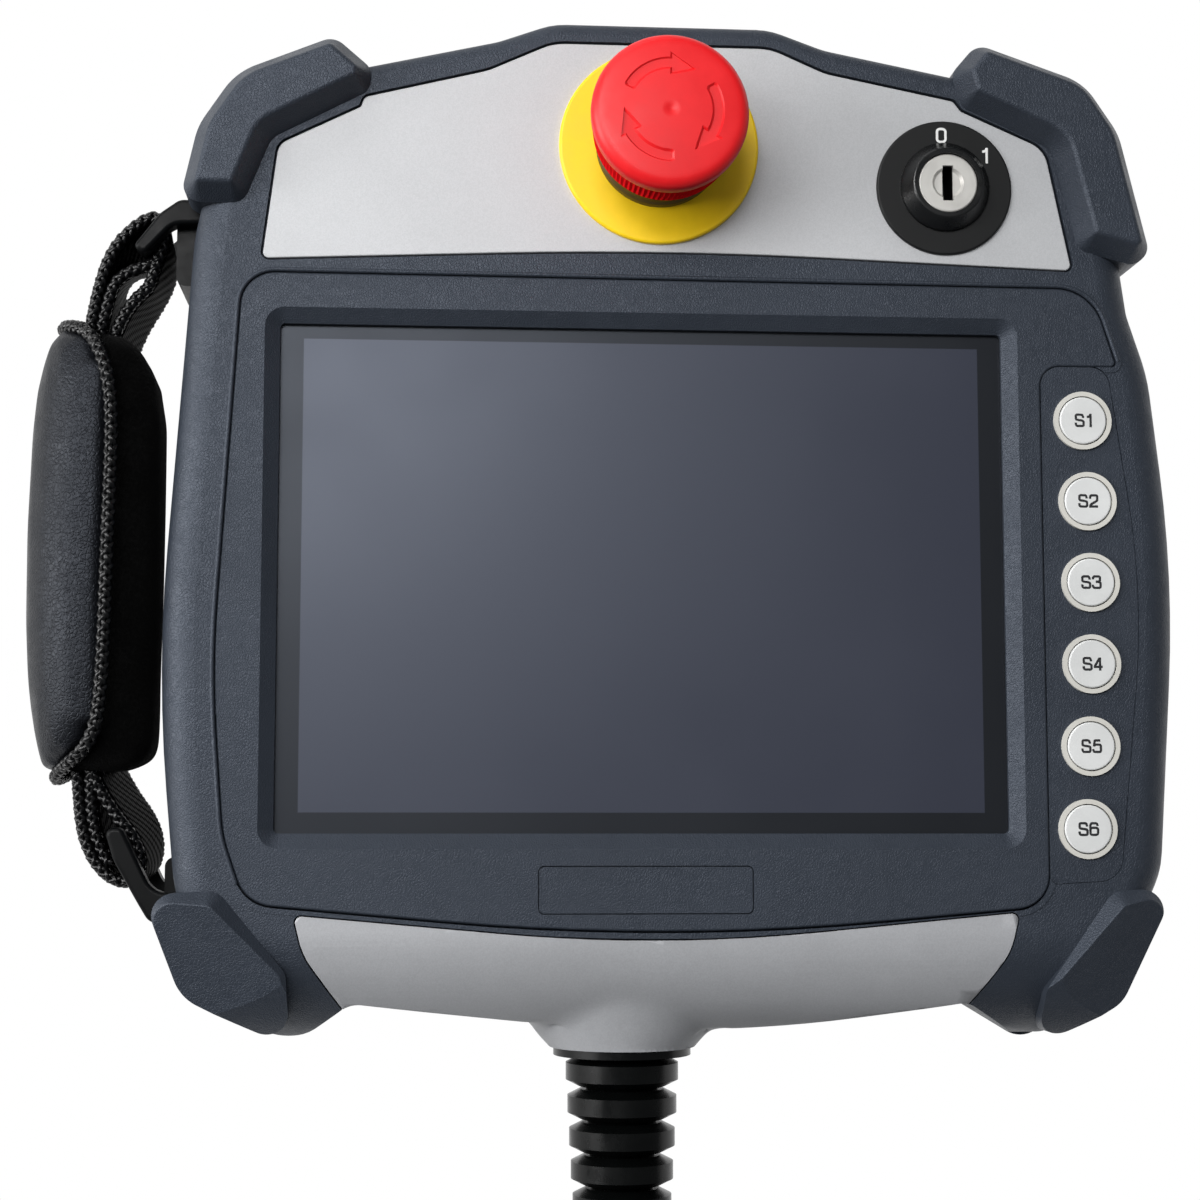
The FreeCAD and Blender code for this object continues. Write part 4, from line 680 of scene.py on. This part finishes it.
HEAD_STEPS = 180
HEAD_SEAT, SKIRT_WAIST, CAP_LOW, CAP_RIM = 63.12, 61.2, 66.2, 70.3
BORE_RADIUS, SKIRT_RADIUS, CAP_RADIUS = 4.05, 13.6, 15.6
HEAD_DOME, DOME_RADIUS = 0.5, 13.0
RIB_DEPTH = 0.3
head_profile = [(BORE_RADIUS, HEAD_SEAT), (SKIRT_RADIUS, HEAD_SEAT), (SKIRT_RADIUS, SKIRT_LOW),
                (14.4, SKIRT_LOW), (14.9, SKIRT_WAIST), (15.1, SKIRT_HIGH), (CAP_RADIUS, CAP_LOW),
                (CAP_RADIUS, CAP_RIM)]
head_profile += [(r, HEAD_TOP - HEAD_DOME * (r / DOME_RADIUS) ** 2) for r in range(13, 1, -1)]
# the small dimple of the mould's gate in the middle of the top
head_profile += [(1.0, HEAD_TOP), (0.6, HEAD_TOP - 0.14), (0.0, HEAD_TOP - 0.16)]
head = lathe(head_profile, HEAD_STEPS)


def ring_at(form, height):
    """The edges that lie level at the height, on the outside."""
    return [e for e in form.edges
            if all(abs(v.co.z - height) < 0.01 and v.co.xy.length > 12 for v in e.verts)]


# every second line of the skirt sinks, which leaves ribs
for vert in head.verts:
    number = round(math.atan2(vert.co.y, vert.co.x) / (2 * math.pi) * HEAD_STEPS)
    on_skirt = SKIRT_WAIST - 0.1 < vert.co.z < SKIRT_HIGH + 0.1 and vert.co.xy.length > SKIRT_RADIUS + 0.1
    if number % 2 and on_skirt:
        vert.co.xy *= 1 - RIB_DEPTH / vert.co.xy.length
soften(head, ring_at(head, CAP_RIM), 2.0, 8)
soften(head, ring_at(head, CAP_LOW), 0.8, 3)
bmesh.ops.translate(head, verts=head.verts, vec=(*STOP_AXIS, 0))

ARROW_IN, ARROW_OUT, ARROW_BARB = 8.5, 10.2, 1.1
# degrees about the stop's axis: where an arrow starts, and how far its shaft and point reach
ARROW_START, ARROW_SHAFT, ARROW_POINT = 151, 62, 26
ARROW_FLOOR, ARROW_RISE = 70.45, 0.8
# the blunt start: how many degrees it takes and how much its corners are cut; then the shaft's steps
ARROW_BLUNT, ARROW_CHAMFER, ARROW_STEPS = 3, 0.4, 12


def arrow(start, grow):
    """One loop of an arrow about the stop's axis, grown as much as it stands above the arrow's floor."""
    inner, outer = ARROW_IN - grow, ARROW_OUT + grow
    margin = math.degrees(grow / ARROW_IN)
    shaft = [start + margin - ARROW_BLUNT - i * (ARROW_SHAFT - ARROW_BLUNT) / ARROW_STEPS
             for i in range(ARROW_STEPS + 1)]
    corners = [(inner + ARROW_CHAMFER, start + margin)] + [(inner, a) for a in shaft]
    corners += [(inner - ARROW_BARB, shaft[-1]),
                ((ARROW_IN + ARROW_OUT) / 2, start - ARROW_SHAFT - ARROW_POINT - 1.5 * margin),
                (outer + ARROW_BARB, shaft[-1])]
    corners += [(outer, a) for a in reversed(shaft)] + [(outer - ARROW_CHAMFER, start + margin)]
    return [(STOP_AXIS[0] + r * math.cos(math.radians(a)), STOP_AXIS[1] + r * math.sin(math.radians(a)),
             ARROW_FLOOR + grow) for r, a in corners]


arrows = bmesh.new()
for number in range(3):
    start = ARROW_START - 120 * number
    loft([arrow(start, grow) for grow in (0.0, ARROW_RISE)], arrows)
cutter = scratch(mesh_of(arrows, "arrows"))
head_blank = scratch(mesh_of(head, "stop_head_blank"))
sink = head_blank.modifiers.new("arrows", "BOOLEAN")
sink.object = cutter
sink.operation = "DIFFERENCE"
sink.solver = "EXACT"
shown("stop_head_shape", finished(head_blank), "red", "stop_cap", "stop_red", "stop_head", smooth=30)
bpy.data.objects.remove(cutter)


# Key labels and the key switch's positions

# each figure's strokes as guide points in a box one unit high; the last value says if the line is closed
FIGURES = {
    "S": [([(0.64, 0.68), (0.63, 0.92), (0.36, 0.92), (0.10, 0.92), (0.10, 0.72), (0.10, 0.55), (0.38, 0.51),
            (0.67, 0.46), (0.67, 0.27), (0.67, 0.08), (0.37, 0.08), (0.09, 0.08), (0.08, 0.33)], False)],
    "0": [([(0.08, 0.92), (0.62, 0.92), (0.62, 0.5), (0.62, 0.08), (0.08, 0.08), (0.08, 0.5)], True)],
    "1": [([(0.40, 0.0), (0.40, 1.0)], False), ([(0.12, 0.76), (0.38, 0.76), (0.40, 0.98)], False)],
    "2": [([(0.10, 0.66), (0.09, 0.92), (0.36, 0.92), (0.63, 0.92), (0.63, 0.70), (0.63, 0.53), (0.40, 0.39),
            (0.10, 0.22), (0.10, 0.08)], False), ([(0.02, 0.09), (0.68, 0.09)], False)],
    "3": [([(0.09, 0.70), (0.09, 0.92), (0.36, 0.92), (0.61, 0.92), (0.61, 0.73), (0.61, 0.53),
            (0.30, 0.53)], False),
          ([(0.30, 0.53), (0.65, 0.53), (0.65, 0.29), (0.65, 0.08), (0.36, 0.08), (0.08, 0.08),
            (0.08, 0.31)], False)],
    "4": [([(0.51, 0.0), (0.51, 0.96)], False), ([(0.04, 0.28), (0.70, 0.28)], False),
          ([(0.09, 0.28), (0.49, 0.94)], False)],
    "5": [([(0.19, 0.91), (0.62, 0.91)], False), ([(0.21, 0.96), (0.14, 0.47)], False),
          ([(0.14, 0.50), (0.22, 0.61), (0.38, 0.61), (0.65, 0.61), (0.65, 0.34), (0.65, 0.08), (0.36, 0.08),
            (0.09, 0.08), (0.08, 0.29)], False)],
    "6": [([(0.63, 0.72), (0.60, 0.92), (0.38, 0.92), (0.09, 0.92), (0.09, 0.42), (0.09, 0.33)], False),
          ([(0.09, 0.60), (0.65, 0.60), (0.65, 0.34), (0.65, 0.08), (0.09, 0.08), (0.09, 0.34)], True)],
}
FIGURE_STEP = 0.8
INK_THICK = 0.04


def label(name, words, height, stroke, place, look, body, slot):
    """Printed figures, drawn as strokes that stand a hair above the surface that carries them."""
    curve = curve_of(name, stroke / 2, 2, steps=8, caps=True)
    for number, figure in enumerate(words):
        for points, closed in FIGURES[figure]:
            spots = [((x + FIGURE_STEP * number) * height, y * height, 0) for x, y in points]
            add_line(curve, "NURBS", spots, closed)
    mesh = finished(scratch(curve))
    xs = [v.co.x for v in mesh.vertices]
    middle = Vector(((min(xs) + max(xs)) / 2, height / 2, 0))
    flat = Matrix.Diagonal((1, 1, INK_THICK / stroke, 1))
    mesh.transform(Matrix.Scale(MM, 4) @ Matrix.Translation(place) @ flat @ Matrix.Translation(-middle))
    shown(name, mesh, look, body, slot)


KEY_FACE, LEGEND_FACE, INK_LIFT = 46.65, 46.6, 0.01
KEY_HEIGHT, KEY_STROKE = 2.8, 0.5
LEGEND_HEIGHT, LEGEND_STROKE = 3.3, 0.52
for number in range(1, 7):
    low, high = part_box(f"key_{number}")
    middle = (low + high) / 2 / MM
    label(f"key_label_{number}", f"S{number}", KEY_HEIGHT, KEY_STROKE,
          (middle.x, middle.y, KEY_FACE + INK_LIFT), "ink", f"key_{number}", "black_plastic")
# the key switch's positions and their places from its axis
for figure, x, y in (("0", -0.5, 11.1), ("1", 8.7, 7.0)):
    label(f"lock_position_{figure}", figure, LEGEND_HEIGHT, LEGEND_STROKE,
          (LOCK_AXIS[0] + x, LOCK_AXIS[1] + y, LEGEND_FACE + INK_LIFT), "white_ink", "housing", "key_white")


# Rolled lip of the housing round the screen bezel

# the bezel's edge from the right end of its top to its lower left: x, y, corner radius
BEZEL_EDGE = [(94.3, 50.4, 0), (89.4, 65.7, 10), (-85.4, 66.3, 7), (-90.2, -14.0, 200), (-87.6, -47.3, 25),
              (-84.4, -56.6, 0)]
LIP_AWAY, LIP_RADIUS, LIP_LEVEL = 0.5, 0.48, 46.0


def rounded(corners, steps=16):
    """Points of an open line with an arc at each inner corner (x, y, radius)."""
    line = [Vector(corners[0][:2])]
    for before, (x, y, radius), after in zip(corners, corners[1:], corners[2:]):
        here = Vector((x, y))
        back = (Vector(before[:2]) - here).normalized()
        ahead = (Vector(after[:2]) - here).normalized()
        half = back.angle(ahead) / 2
        centre = here + (back + ahead).normalized() * radius / math.sin(half)
        first = here + back * radius / math.tan(half) - centre
        last = here + ahead * radius / math.tan(half) - centre
        sweep = first.angle(last)
        for i in range(steps + 1):
            share = i / steps
            spoke = first * math.sin((1 - share) * sweep) + last * math.sin(share * sweep)
            line.append(centre + spoke / math.sin(sweep))
    return line + [Vector(corners[-1][:2])]


bezel_line = rounded(BEZEL_EDGE)
lip_line = []
for before, here, after in zip(bezel_line[:1] + bezel_line, bezel_line, bezel_line[1:] + bezel_line[-1:]):
    heading = (after - before).normalized()
    spot = here + Vector((heading.y, -heading.x)) * LIP_AWAY
    lip_line.append((spot.x * MM, spot.y * MM, LIP_LEVEL * MM))
lip = curve_of("bezel_lip", LIP_RADIUS * MM, 3, caps=True)
add_line(lip, "POLY", lip_line)
shown("bezel_lip", finished(scratch(lip)), "housing", "housing", "housing_dark")


# Hand strap: leather pad, velvet lining, braided piping, webbing loops

PAD_MIDDLE = 22.0
# along the pad: y, x of the seam, x of the outermost line, half height in z
PAD_SECTIONS = [
    (57.6, -122.4, -124.6, 8.0),
    (56.4, -118.6, -126.2, 12.8),
    (53.0, -115.0, -127.8, 16.4),
    (46.0, -113.0, -129.4, 17.9),
    (36.0, -112.4, -130.4, 18.4),
    (16.0, -112.8, -131.0, 18.6),
    (-4.0, -113.0, -130.8, 18.6),
    (-15.0, -113.3, -130.1, 18.4),
    (-24.0, -114.0, -128.9, 17.7),
    (-29.0, -116.2, -127.9, 15.8),
    (-32.4, -119.4, -127.0, 12.4),
    (-34.4, -122.6, -126.2, 8.0),
]
# a section's steps from seam to seam, and the power that makes its crown fuller than an ellipse
SECTION_STEPS, CROWN_POWER = 16, 0.85
INFLATE_FRAMES = 20
# how far from the seam the cover and the lining are held
HELD_BAND = 1.5


def crowned(y, seam, reach, half):
    """One section of the leather: a crowned line from seam to seam and the flat back."""
    points = []
    for step in range(SECTION_STEPS + 1):
        angle = math.pi * step / SECTION_STEPS
        out = math.sin(angle) ** CROWN_POWER
        points.append((seam + (reach - seam) * out, y, PAD_MIDDLE + half * math.cos(angle)))
    return points


def remeshed(form, name, voxel):
    """The form as one skin of even quads."""
    blank = scratch(mesh_of(form, name))
    skin = blank.modifiers.new("skin", "REMESH")
    skin.mode = "VOXEL"
    skin.voxel_size = voxel * MM
    return finished(blank)


def inflated(mesh, pressure, cap, held):
    """The mesh blown up as a filled cover: no point moves further than the cap, held points stay."""
    piece = scratch(mesh)
    rest = [v.co.copy() for v in mesh.vertices]
    pins = piece.vertex_groups.new(name="held")
    pins.add([i for i, place in enumerate(rest) if held(place / MM)], 1.0, "REPLACE")
    cloth = piece.modifiers.new("cloth", "CLOTH")
    cloth.settings.use_pressure = True
    cloth.settings.uniform_pressure_force = pressure
    cloth.settings.effector_weights.gravity = 0
    cloth.settings.vertex_group_mass = "held"
    for number in range(1, INFLATE_FRAMES + 1):
        scene.frame_set(number)
    blown = finished(piece)
    scene.frame_set(1)
    for vert, place in zip(blown.vertices, rest):
        move = vert.co - place
        if move.length > cap * MM:
            vert.co = place + move.normalized() * cap * MM
    return blown


def subdivided(mesh, levels=1):
    piece = scratch(mesh)
    finer = piece.modifiers.new("finer", "SUBSURF")
    finer.levels = levels
    finer.render_levels = levels
    return finished(piece)


def seam_at(y):
    """The seam's x at a place along the pad."""
    for (y1, x1, _, _), (y0, x0, _, _) in zip(PAD_SECTIONS, PAD_SECTIONS[1:]):
        if y0 <= y <= y1:
            return x0 + (x1 - x0) * (y - y0) / (y1 - y0)
    return PAD_SECTIONS[0][1] if y > 0 else PAD_SECTIONS[-1][1]


leather = remeshed(loft([crowned(*row) for row in PAD_SECTIONS]), "pad_leather", voxel=3.0)
leather = inflated(leather, pressure=3.0, cap=0.9, held=lambda p: p.x > seam_at(p.y) - HELD_BAND)
pad = shown("pad_cover", subdivided(leather, 2), "leather", "housing", "pad_leather", "strap_pad_cover",
            smooth=180)

# along the lining: y, x of the seam side, x of the inner lip, z of the front face
LINING_SECTIONS = [
    (56.4, -118.4, -114.4, 32.0),
    (54.6, -115.8, -109.6, 37.0),
    (51.4, -114.2, -106.4, 38.8),
    (46.0, -112.8, -104.0, 39.4),
    (38.0, -112.2, -102.6, 39.6),
    (20.0, -112.4, -102.6, 39.6),
    (0.0, -112.8, -102.8, 39.6),
    (-16.0, -113.2, -103.0, 39.6),
    (-25.0, -113.8, -102.8, 39.4),
    (-30.0, -116.4, -103.0, 38.8),
    (-32.6, -119.6, -104.6, 36.8),
    (-34.2, -122.4, -109.0, 33.0),
]


def lining_section(y, seam, lip, front):
    """One section of the lining: thin at the rear, and thick at the front with a soft lip."""
    rear = 2 * PAD_MIDDLE - front
    return [(seam, y, rear), (seam + 3.2, y, rear), (seam + 3.6, y, 16), (lip, y, 21), (lip, y, front - 2.5),
            (lip - 2.0, y, front), (seam, y, front)]


lining = remeshed(loft([lining_section(*row) for row in LINING_SECTIONS]), "pad_lining", voxel=2.0)
lining = inflated(lining, pressure=2.0, cap=0.6, held=lambda p: p.x < seam_at(p.y) + HELD_BAND)
pile = shown("pad_lining", subdivided(lining), "velvet", "housing", "pad_lining", "strap_pad_lining",
             smooth=180)

# the piping's front half; the rear half mirrors it
PIPING_FRONT = [
    (-122.4, 58.0, 30.0), (-117.2, 55.6, 37.0), (-113.4, 49.0, 40.8), (-111.6, 40.0, 41.5),
    (-111.5, 28.0, 41.6), (-111.9, 12.0, 41.6), (-112.1, -4.0, 41.6), (-112.4, -16.0, 41.6),
    (-113.2, -25.0, 41.2), (-115.6, -30.0, 39.4), (-119.4, -32.6, 35.0), (-123.0, -34.8, 27.5),
]
PIPING_TOP, PIPING_END = (-125.0, 58.6, PAD_MIDDLE), (-124.0, -35.8, PAD_MIDDLE)
PIPING_RADIUS, PIPING_PITCH = 1.6, 6.6
piping_rear = [(x, y, 2 * PAD_MIDDLE - z) for x, y, z in reversed(PIPING_FRONT)]
piping = braid("pad_piping", PIPING_FRONT + [PIPING_END] + piping_rear + [PIPING_TOP], (1, 0, 0),
               PIPING_RADIUS, PIPING_PITCH, closed=True)
shown("pad_piping", piping, "yarn", "housing", "webbing", "strap_piping", smooth=60)

# levels of the webbing's two edges, and those edges in plan
WEB_FRONT, WEB_REAR = 31.0, 13.0
WEB_THICK = 2.6
WEB_CUTS, RIB_SWAY = 9, 0.12
EDGE_RADIUS, EDGE_PITCH = 1.42, 6.0
UPPER_FRONT = [(-118.2, 54.5), (-117.3, 60.6), (-116.0, 66.8), (-114.6, 71.6), (-112.5, 75.5),
               (-110.4, 77.8), (-107.6, 80.3), (-104.8, 81.4), (-102.6, 79.4), (-103.0, 75.4),
               (-104.4, 72.0), (-105.2, 69.0), (-105.9, 66.2), (-108.2, 64.2), (-110.4, 61.4),
               (-112.2, 57.6), (-113.2, 54.5)]
UPPER_REAR = [(-118.2, 54.5), (-116.6, 60.0), (-115.0, 66.5), (-113.2, 72.3), (-110.1, 76.8),
              (-106.4, 78.6), (-103.2, 76.6), (-103.4, 72.0), (-105.0, 68.0), (-107.4, 63.8),
              (-109.6, 60.0), (-111.6, 54.5)]
UPPER_FOLD_FRONT = [(-104.6, 71.6), (-107.6, 70.4), (-110.6, 69.2), (-112.8, 67.4), (-113.9, 64.8),
                    (-114.8, 61.0), (-116.0, 55.0)]
UPPER_FOLD_REAR = [(-105.8, 74.6), (-109.2, 74.0), (-112.2, 72.6), (-114.0, 70.0), (-114.4, 66.0),
                   (-114.6, 61.8), (-115.4, 55.0)]
LOWER_FRONT = [(-118.6, -33.0), (-118.0, -38.0), (-117.6, -43.0), (-116.6, -48.2), (-114.4, -52.8),
               (-111.2, -56.0), (-107.6, -57.0), (-105.2, -54.6), (-105.6, -50.6), (-107.2, -47.2),
               (-109.4, -44.6), (-112.2, -40.8), (-114.8, -36.5), (-116.0, -33.0)]
LOWER_REAR = [(-118.2, -33.0), (-117.6, -38.0), (-117.2, -43.0), (-116.0, -48.2), (-113.6, -52.6),
              (-110.6, -55.4), (-107.0, -56.2), (-104.4, -53.8), (-103.6, -49.6), (-104.6, -45.4),
              (-106.6, -42.0), (-109.2, -38.6), (-111.8, -34.0)]
LOWER_FOLD_FRONT = [(-115.9, -33.0), (-115.7, -38.0), (-115.3, -43.0), (-114.4, -47.4), (-113.0, -50.6),
                    (-111.6, -53.2)]
LOWER_FOLD_REAR = [(-113.5, -33.0), (-112.8, -38.0), (-111.6, -43.0), (-110.6, -47.0), (-110.0, -50.0),
                   (-109.8, -52.6)]


def webbing(name, front, rear, *nodes):
    """A webbing loop between its front and rear edge lines, with braided edges."""
    lines = []
    for edge, height in ((front, WEB_FRONT), (rear, WEB_REAR)):
        line, length = smooth_line([(x, y, height) for x, y in edge], step=0.9)
        lines.append(line)
    count = min(len(line) for line in lines)
    lines = [[line[round(i * (len(line) - 1) / (count - 1))] for i in range(count)] for line in lines]
    form = bmesh.new()
    along = form.verts.layers.float.new("along")
    across = form.verts.layers.float.new("across")
    loops = []
    for line, side in zip(lines, (0.0, (WEB_FRONT - WEB_REAR) * MM)):
        verts = [form.verts.new(p) for p in line]
        for i, vert in enumerate(verts):
            vert[along] = length * MM * i / (count - 1)
            vert[across] = side
        loops.append([form.edges.new(pair) for pair in zip(verts, verts[1:])])
    bmesh.ops.bridge_loops(form, edges=loops[0] + loops[1])
    rungs = [e for e in form.edges if abs(e.verts[0].co.z - e.verts[1].co.z) > 1]
    bmesh.ops.subdivide_edges(form, edges=rungs, cuts=WEB_CUTS)
    for vert in form.verts:
        if WEB_REAR + 0.5 < vert.co.z < WEB_FRONT - 0.5:
            rib = math.sin(2 * math.pi * (vert[along] + WEB_SLANT * vert[across]) / WEB_PITCH)
            vert.co.z += RIB_SWAY * rib
    bmesh.ops.recalc_face_normals(form, faces=form.faces)
    band = scratch(mesh_of(form, name))
    wall = band.modifiers.new("wall", "SOLIDIFY")
    wall.thickness = WEB_THICK * MM
    wall.offset = 0
    finer = band.modifiers.new("finer", "SUBSURF")
    finer.levels = 1
    finer.render_levels = 1
    shown(name, finished(band), "webbing", "housing", "webbing", *nodes, smooth=60)
    for tag, edge, height in (("front", front, WEB_FRONT), ("rear", rear, WEB_REAR)):
        cord = braid(f"{name}_{tag}", [(x, y, height) for x, y in edge], (0, 0, 1), EDGE_RADIUS, EDGE_PITCH)
        shown(f"{name}_{tag}_edge", cord, "yarn", "housing", "webbing", smooth=60)


webbing("strap_loop_upper", UPPER_FRONT, UPPER_REAR, "strap_webbing_upper")
webbing("strap_fold_upper", UPPER_FOLD_FRONT, UPPER_FOLD_REAR)
webbing("strap_loop_lower", LOWER_FRONT, LOWER_REAR, "strap_webbing_lower")
webbing("strap_fold_lower", LOWER_FOLD_FRONT, LOWER_FOLD_REAR)


# Cable: the lead, the coil's turns and the tail as one line

GLAND_X, GLAND_Z, BOOT_END = -6.6, 22.0, -139.5
COIL_X, COIL_Y, COIL_R = 49.4, -200.0, 56.0
CABLE_R = 4.5
LEAD_STOPS = (BOOT_END, -155.0, -170.0, -185.0)
TAIL_STOPS, TAIL_LEVEL = (64.0, 80.0, 92.0, 101.0), 13.0
# each turn's radius and level; past STEP_OVER of a turn the cable goes over to the next one
COIL_TURNS = [(56.0, 22.4), (65.0, 22.4), (65.0, 13.4), (65.0, 4.5), (56.0, 4.5), (47.0, 4.5), (47.0, 13.4),
              (47.0, 22.4), (56.0, 13.2)]
TURN_COUNT, TURN_STEPS, STEP_OVER = 8.25, 24, 0.75


def cable_route():
    """The cable's guide points: straight out of the boot, round the coil, and out to the connector."""
    points = [(GLAND_X, y, GLAND_Z) for y in LEAD_STOPS]
    for step in range(int(TURN_COUNT * TURN_STEPS) + 1):
        angle = math.pi + 2 * math.pi * step / TURN_STEPS
        turn_at = step / TURN_STEPS
        here = min(int(turn_at), len(COIL_TURNS) - 2)
        share = min(max((turn_at - here - STEP_OVER) / (1 - STEP_OVER), 0), 1)
        share = share * share * (3 - 2 * share)
        (radius, level), (next_radius, next_level) = COIL_TURNS[here:here + 2]
        radius = radius * (1 - share) + next_radius * share
        level = level * (1 - share) + next_level * share
        points.append((COIL_X + radius * math.cos(angle), COIL_Y + radius * math.sin(angle), level))
    return points + [(x, COIL_Y - COIL_R, TAIL_LEVEL) for x in TAIL_STOPS]


route = cable_route()
cable_line = curve_of("cable", CABLE_R * MM, 4, steps=4)
add_line(cable_line, "NURBS", [[v * MM for v in place] for place in route])
cable_line.materials.append(LOOKS["sheath"])
cable = bpy.data.objects.new("cable", cable_line)
scene.collection.objects.link(cable)
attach(cable, "housing")
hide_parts("cable_lead", "cable_coil", "cable_tail")


# Lower cover with a soft transition from its chin to the cable boss

# the boss's surroundings: half width in x, from its tip to its root in y, and the least level
BOSS_HALF, BOSS_TIP, BOSS_ROOT, BOSS_LOW = 30, -92.0, -70.0, 18
COVER_HALF, COVER_STRIP = 76, 4
GRID_STEP = 1.2
# angles in radians: a crease is at least the first, a corner that stays sharp at least the second
CREASE_ANGLE, CORNER_ANGLE = 0.15, 0.9
# how far from the crease the cover gives, how much next to it, and in how many rounds
SOFT_REACH, SOFT_PULL, SOFT_ROUNDS = 5.5, 0.5, 60


def at_boss(place):
    return abs(place.x - GLAND_X) < BOSS_HALF and place.y < BOSS_ROOT and place.z > BOSS_LOW


def outer_faces(form):
    """The cover's front faces about the boss."""
    return [f for f in form.faces if f.normal.z > -0.05 and at_boss(f.calc_center_median())]


def boss_crease(form):
    """Points along the hollow edges where the boss meets the chin."""
    points = []
    for edge in form.edges:
        sides = edge.link_faces
        if len(sides) == 2 and not edge.is_convex and edge.calc_face_angle() > CREASE_ANGLE:
            first, last = (v.co for v in edge.verts)
            if at_boss(first) and at_boss(last) and sides[0].normal.z + sides[1].normal.z > -0.1:
                steps = max(2, round((last - first).length / 0.5))
                points += [first.lerp(last, i / steps) for i in range(steps + 1)]
    return points


def split(form, faces, axis, at):
    """Split the faces where a plane across an axis passes."""
    edges = dict.fromkeys(e for f in faces for e in f.edges)
    verts = dict.fromkeys(v for f in faces for v in f.verts)
    bmesh.ops.bisect_plane(form, geom=[*faces, *edges, *verts], plane_co=axis * at, plane_no=axis)


def is_corner(vert):
    return any(e.calc_face_angle(0) > CORNER_ANGLE for e in vert.link_edges if len(e.link_faces) == 2)


cover_node = NODES["lower_cover"]
cover = bmesh.new()
cover.from_mesh(cover_node.data)
bmesh.ops.transform(cover, verts=cover.verts, matrix=Matrix.Scale(1 / MM, 4) @ cover_node.matrix_world)
bmesh.ops.remove_doubles(cover, verts=cover.verts, dist=1e-4)
bmesh.ops.recalc_face_normals(cover, faces=cover.faces)
crease = boss_crease(cover)
ACROSS, ALONG = Vector((1, 0, 0)), Vector((0, 1, 0))
for at in range(-COVER_HALF, COVER_HALF + 1, COVER_STRIP):
    split(cover, cover.faces[:], ACROSS, at)
for axis, low, high in ((ACROSS, GLAND_X - BOSS_HALF, GLAND_X + BOSS_HALF), (ALONG, BOSS_TIP, BOSS_ROOT)):
    for i in range(round((high - low) / GRID_STEP)):
        split(cover, outer_faces(cover), axis, low + GRID_STEP * i)
pull = {}
for vert in dict.fromkeys(v for f in outer_faces(cover) for v in f.verts):
    away = min((vert.co - spot).length for spot in crease)
    if away < SOFT_REACH and not is_corner(vert):
        pull[vert] = SOFT_PULL * (1 - away / SOFT_REACH)
for _ in range(SOFT_ROUNDS):
    goal = {v: sum((e.other_vert(v).co for e in v.link_edges), Vector()) / len(v.link_edges) for v in pull}
    for vert, place in goal.items():
        vert.co = vert.co.lerp(place, pull[vert])
shown("lower_cover_shape", mesh_of(cover, "lower_cover_shape"), "silver_in_painted_shade", "housing", "silver_paint",
      "lower_cover", smooth=35)
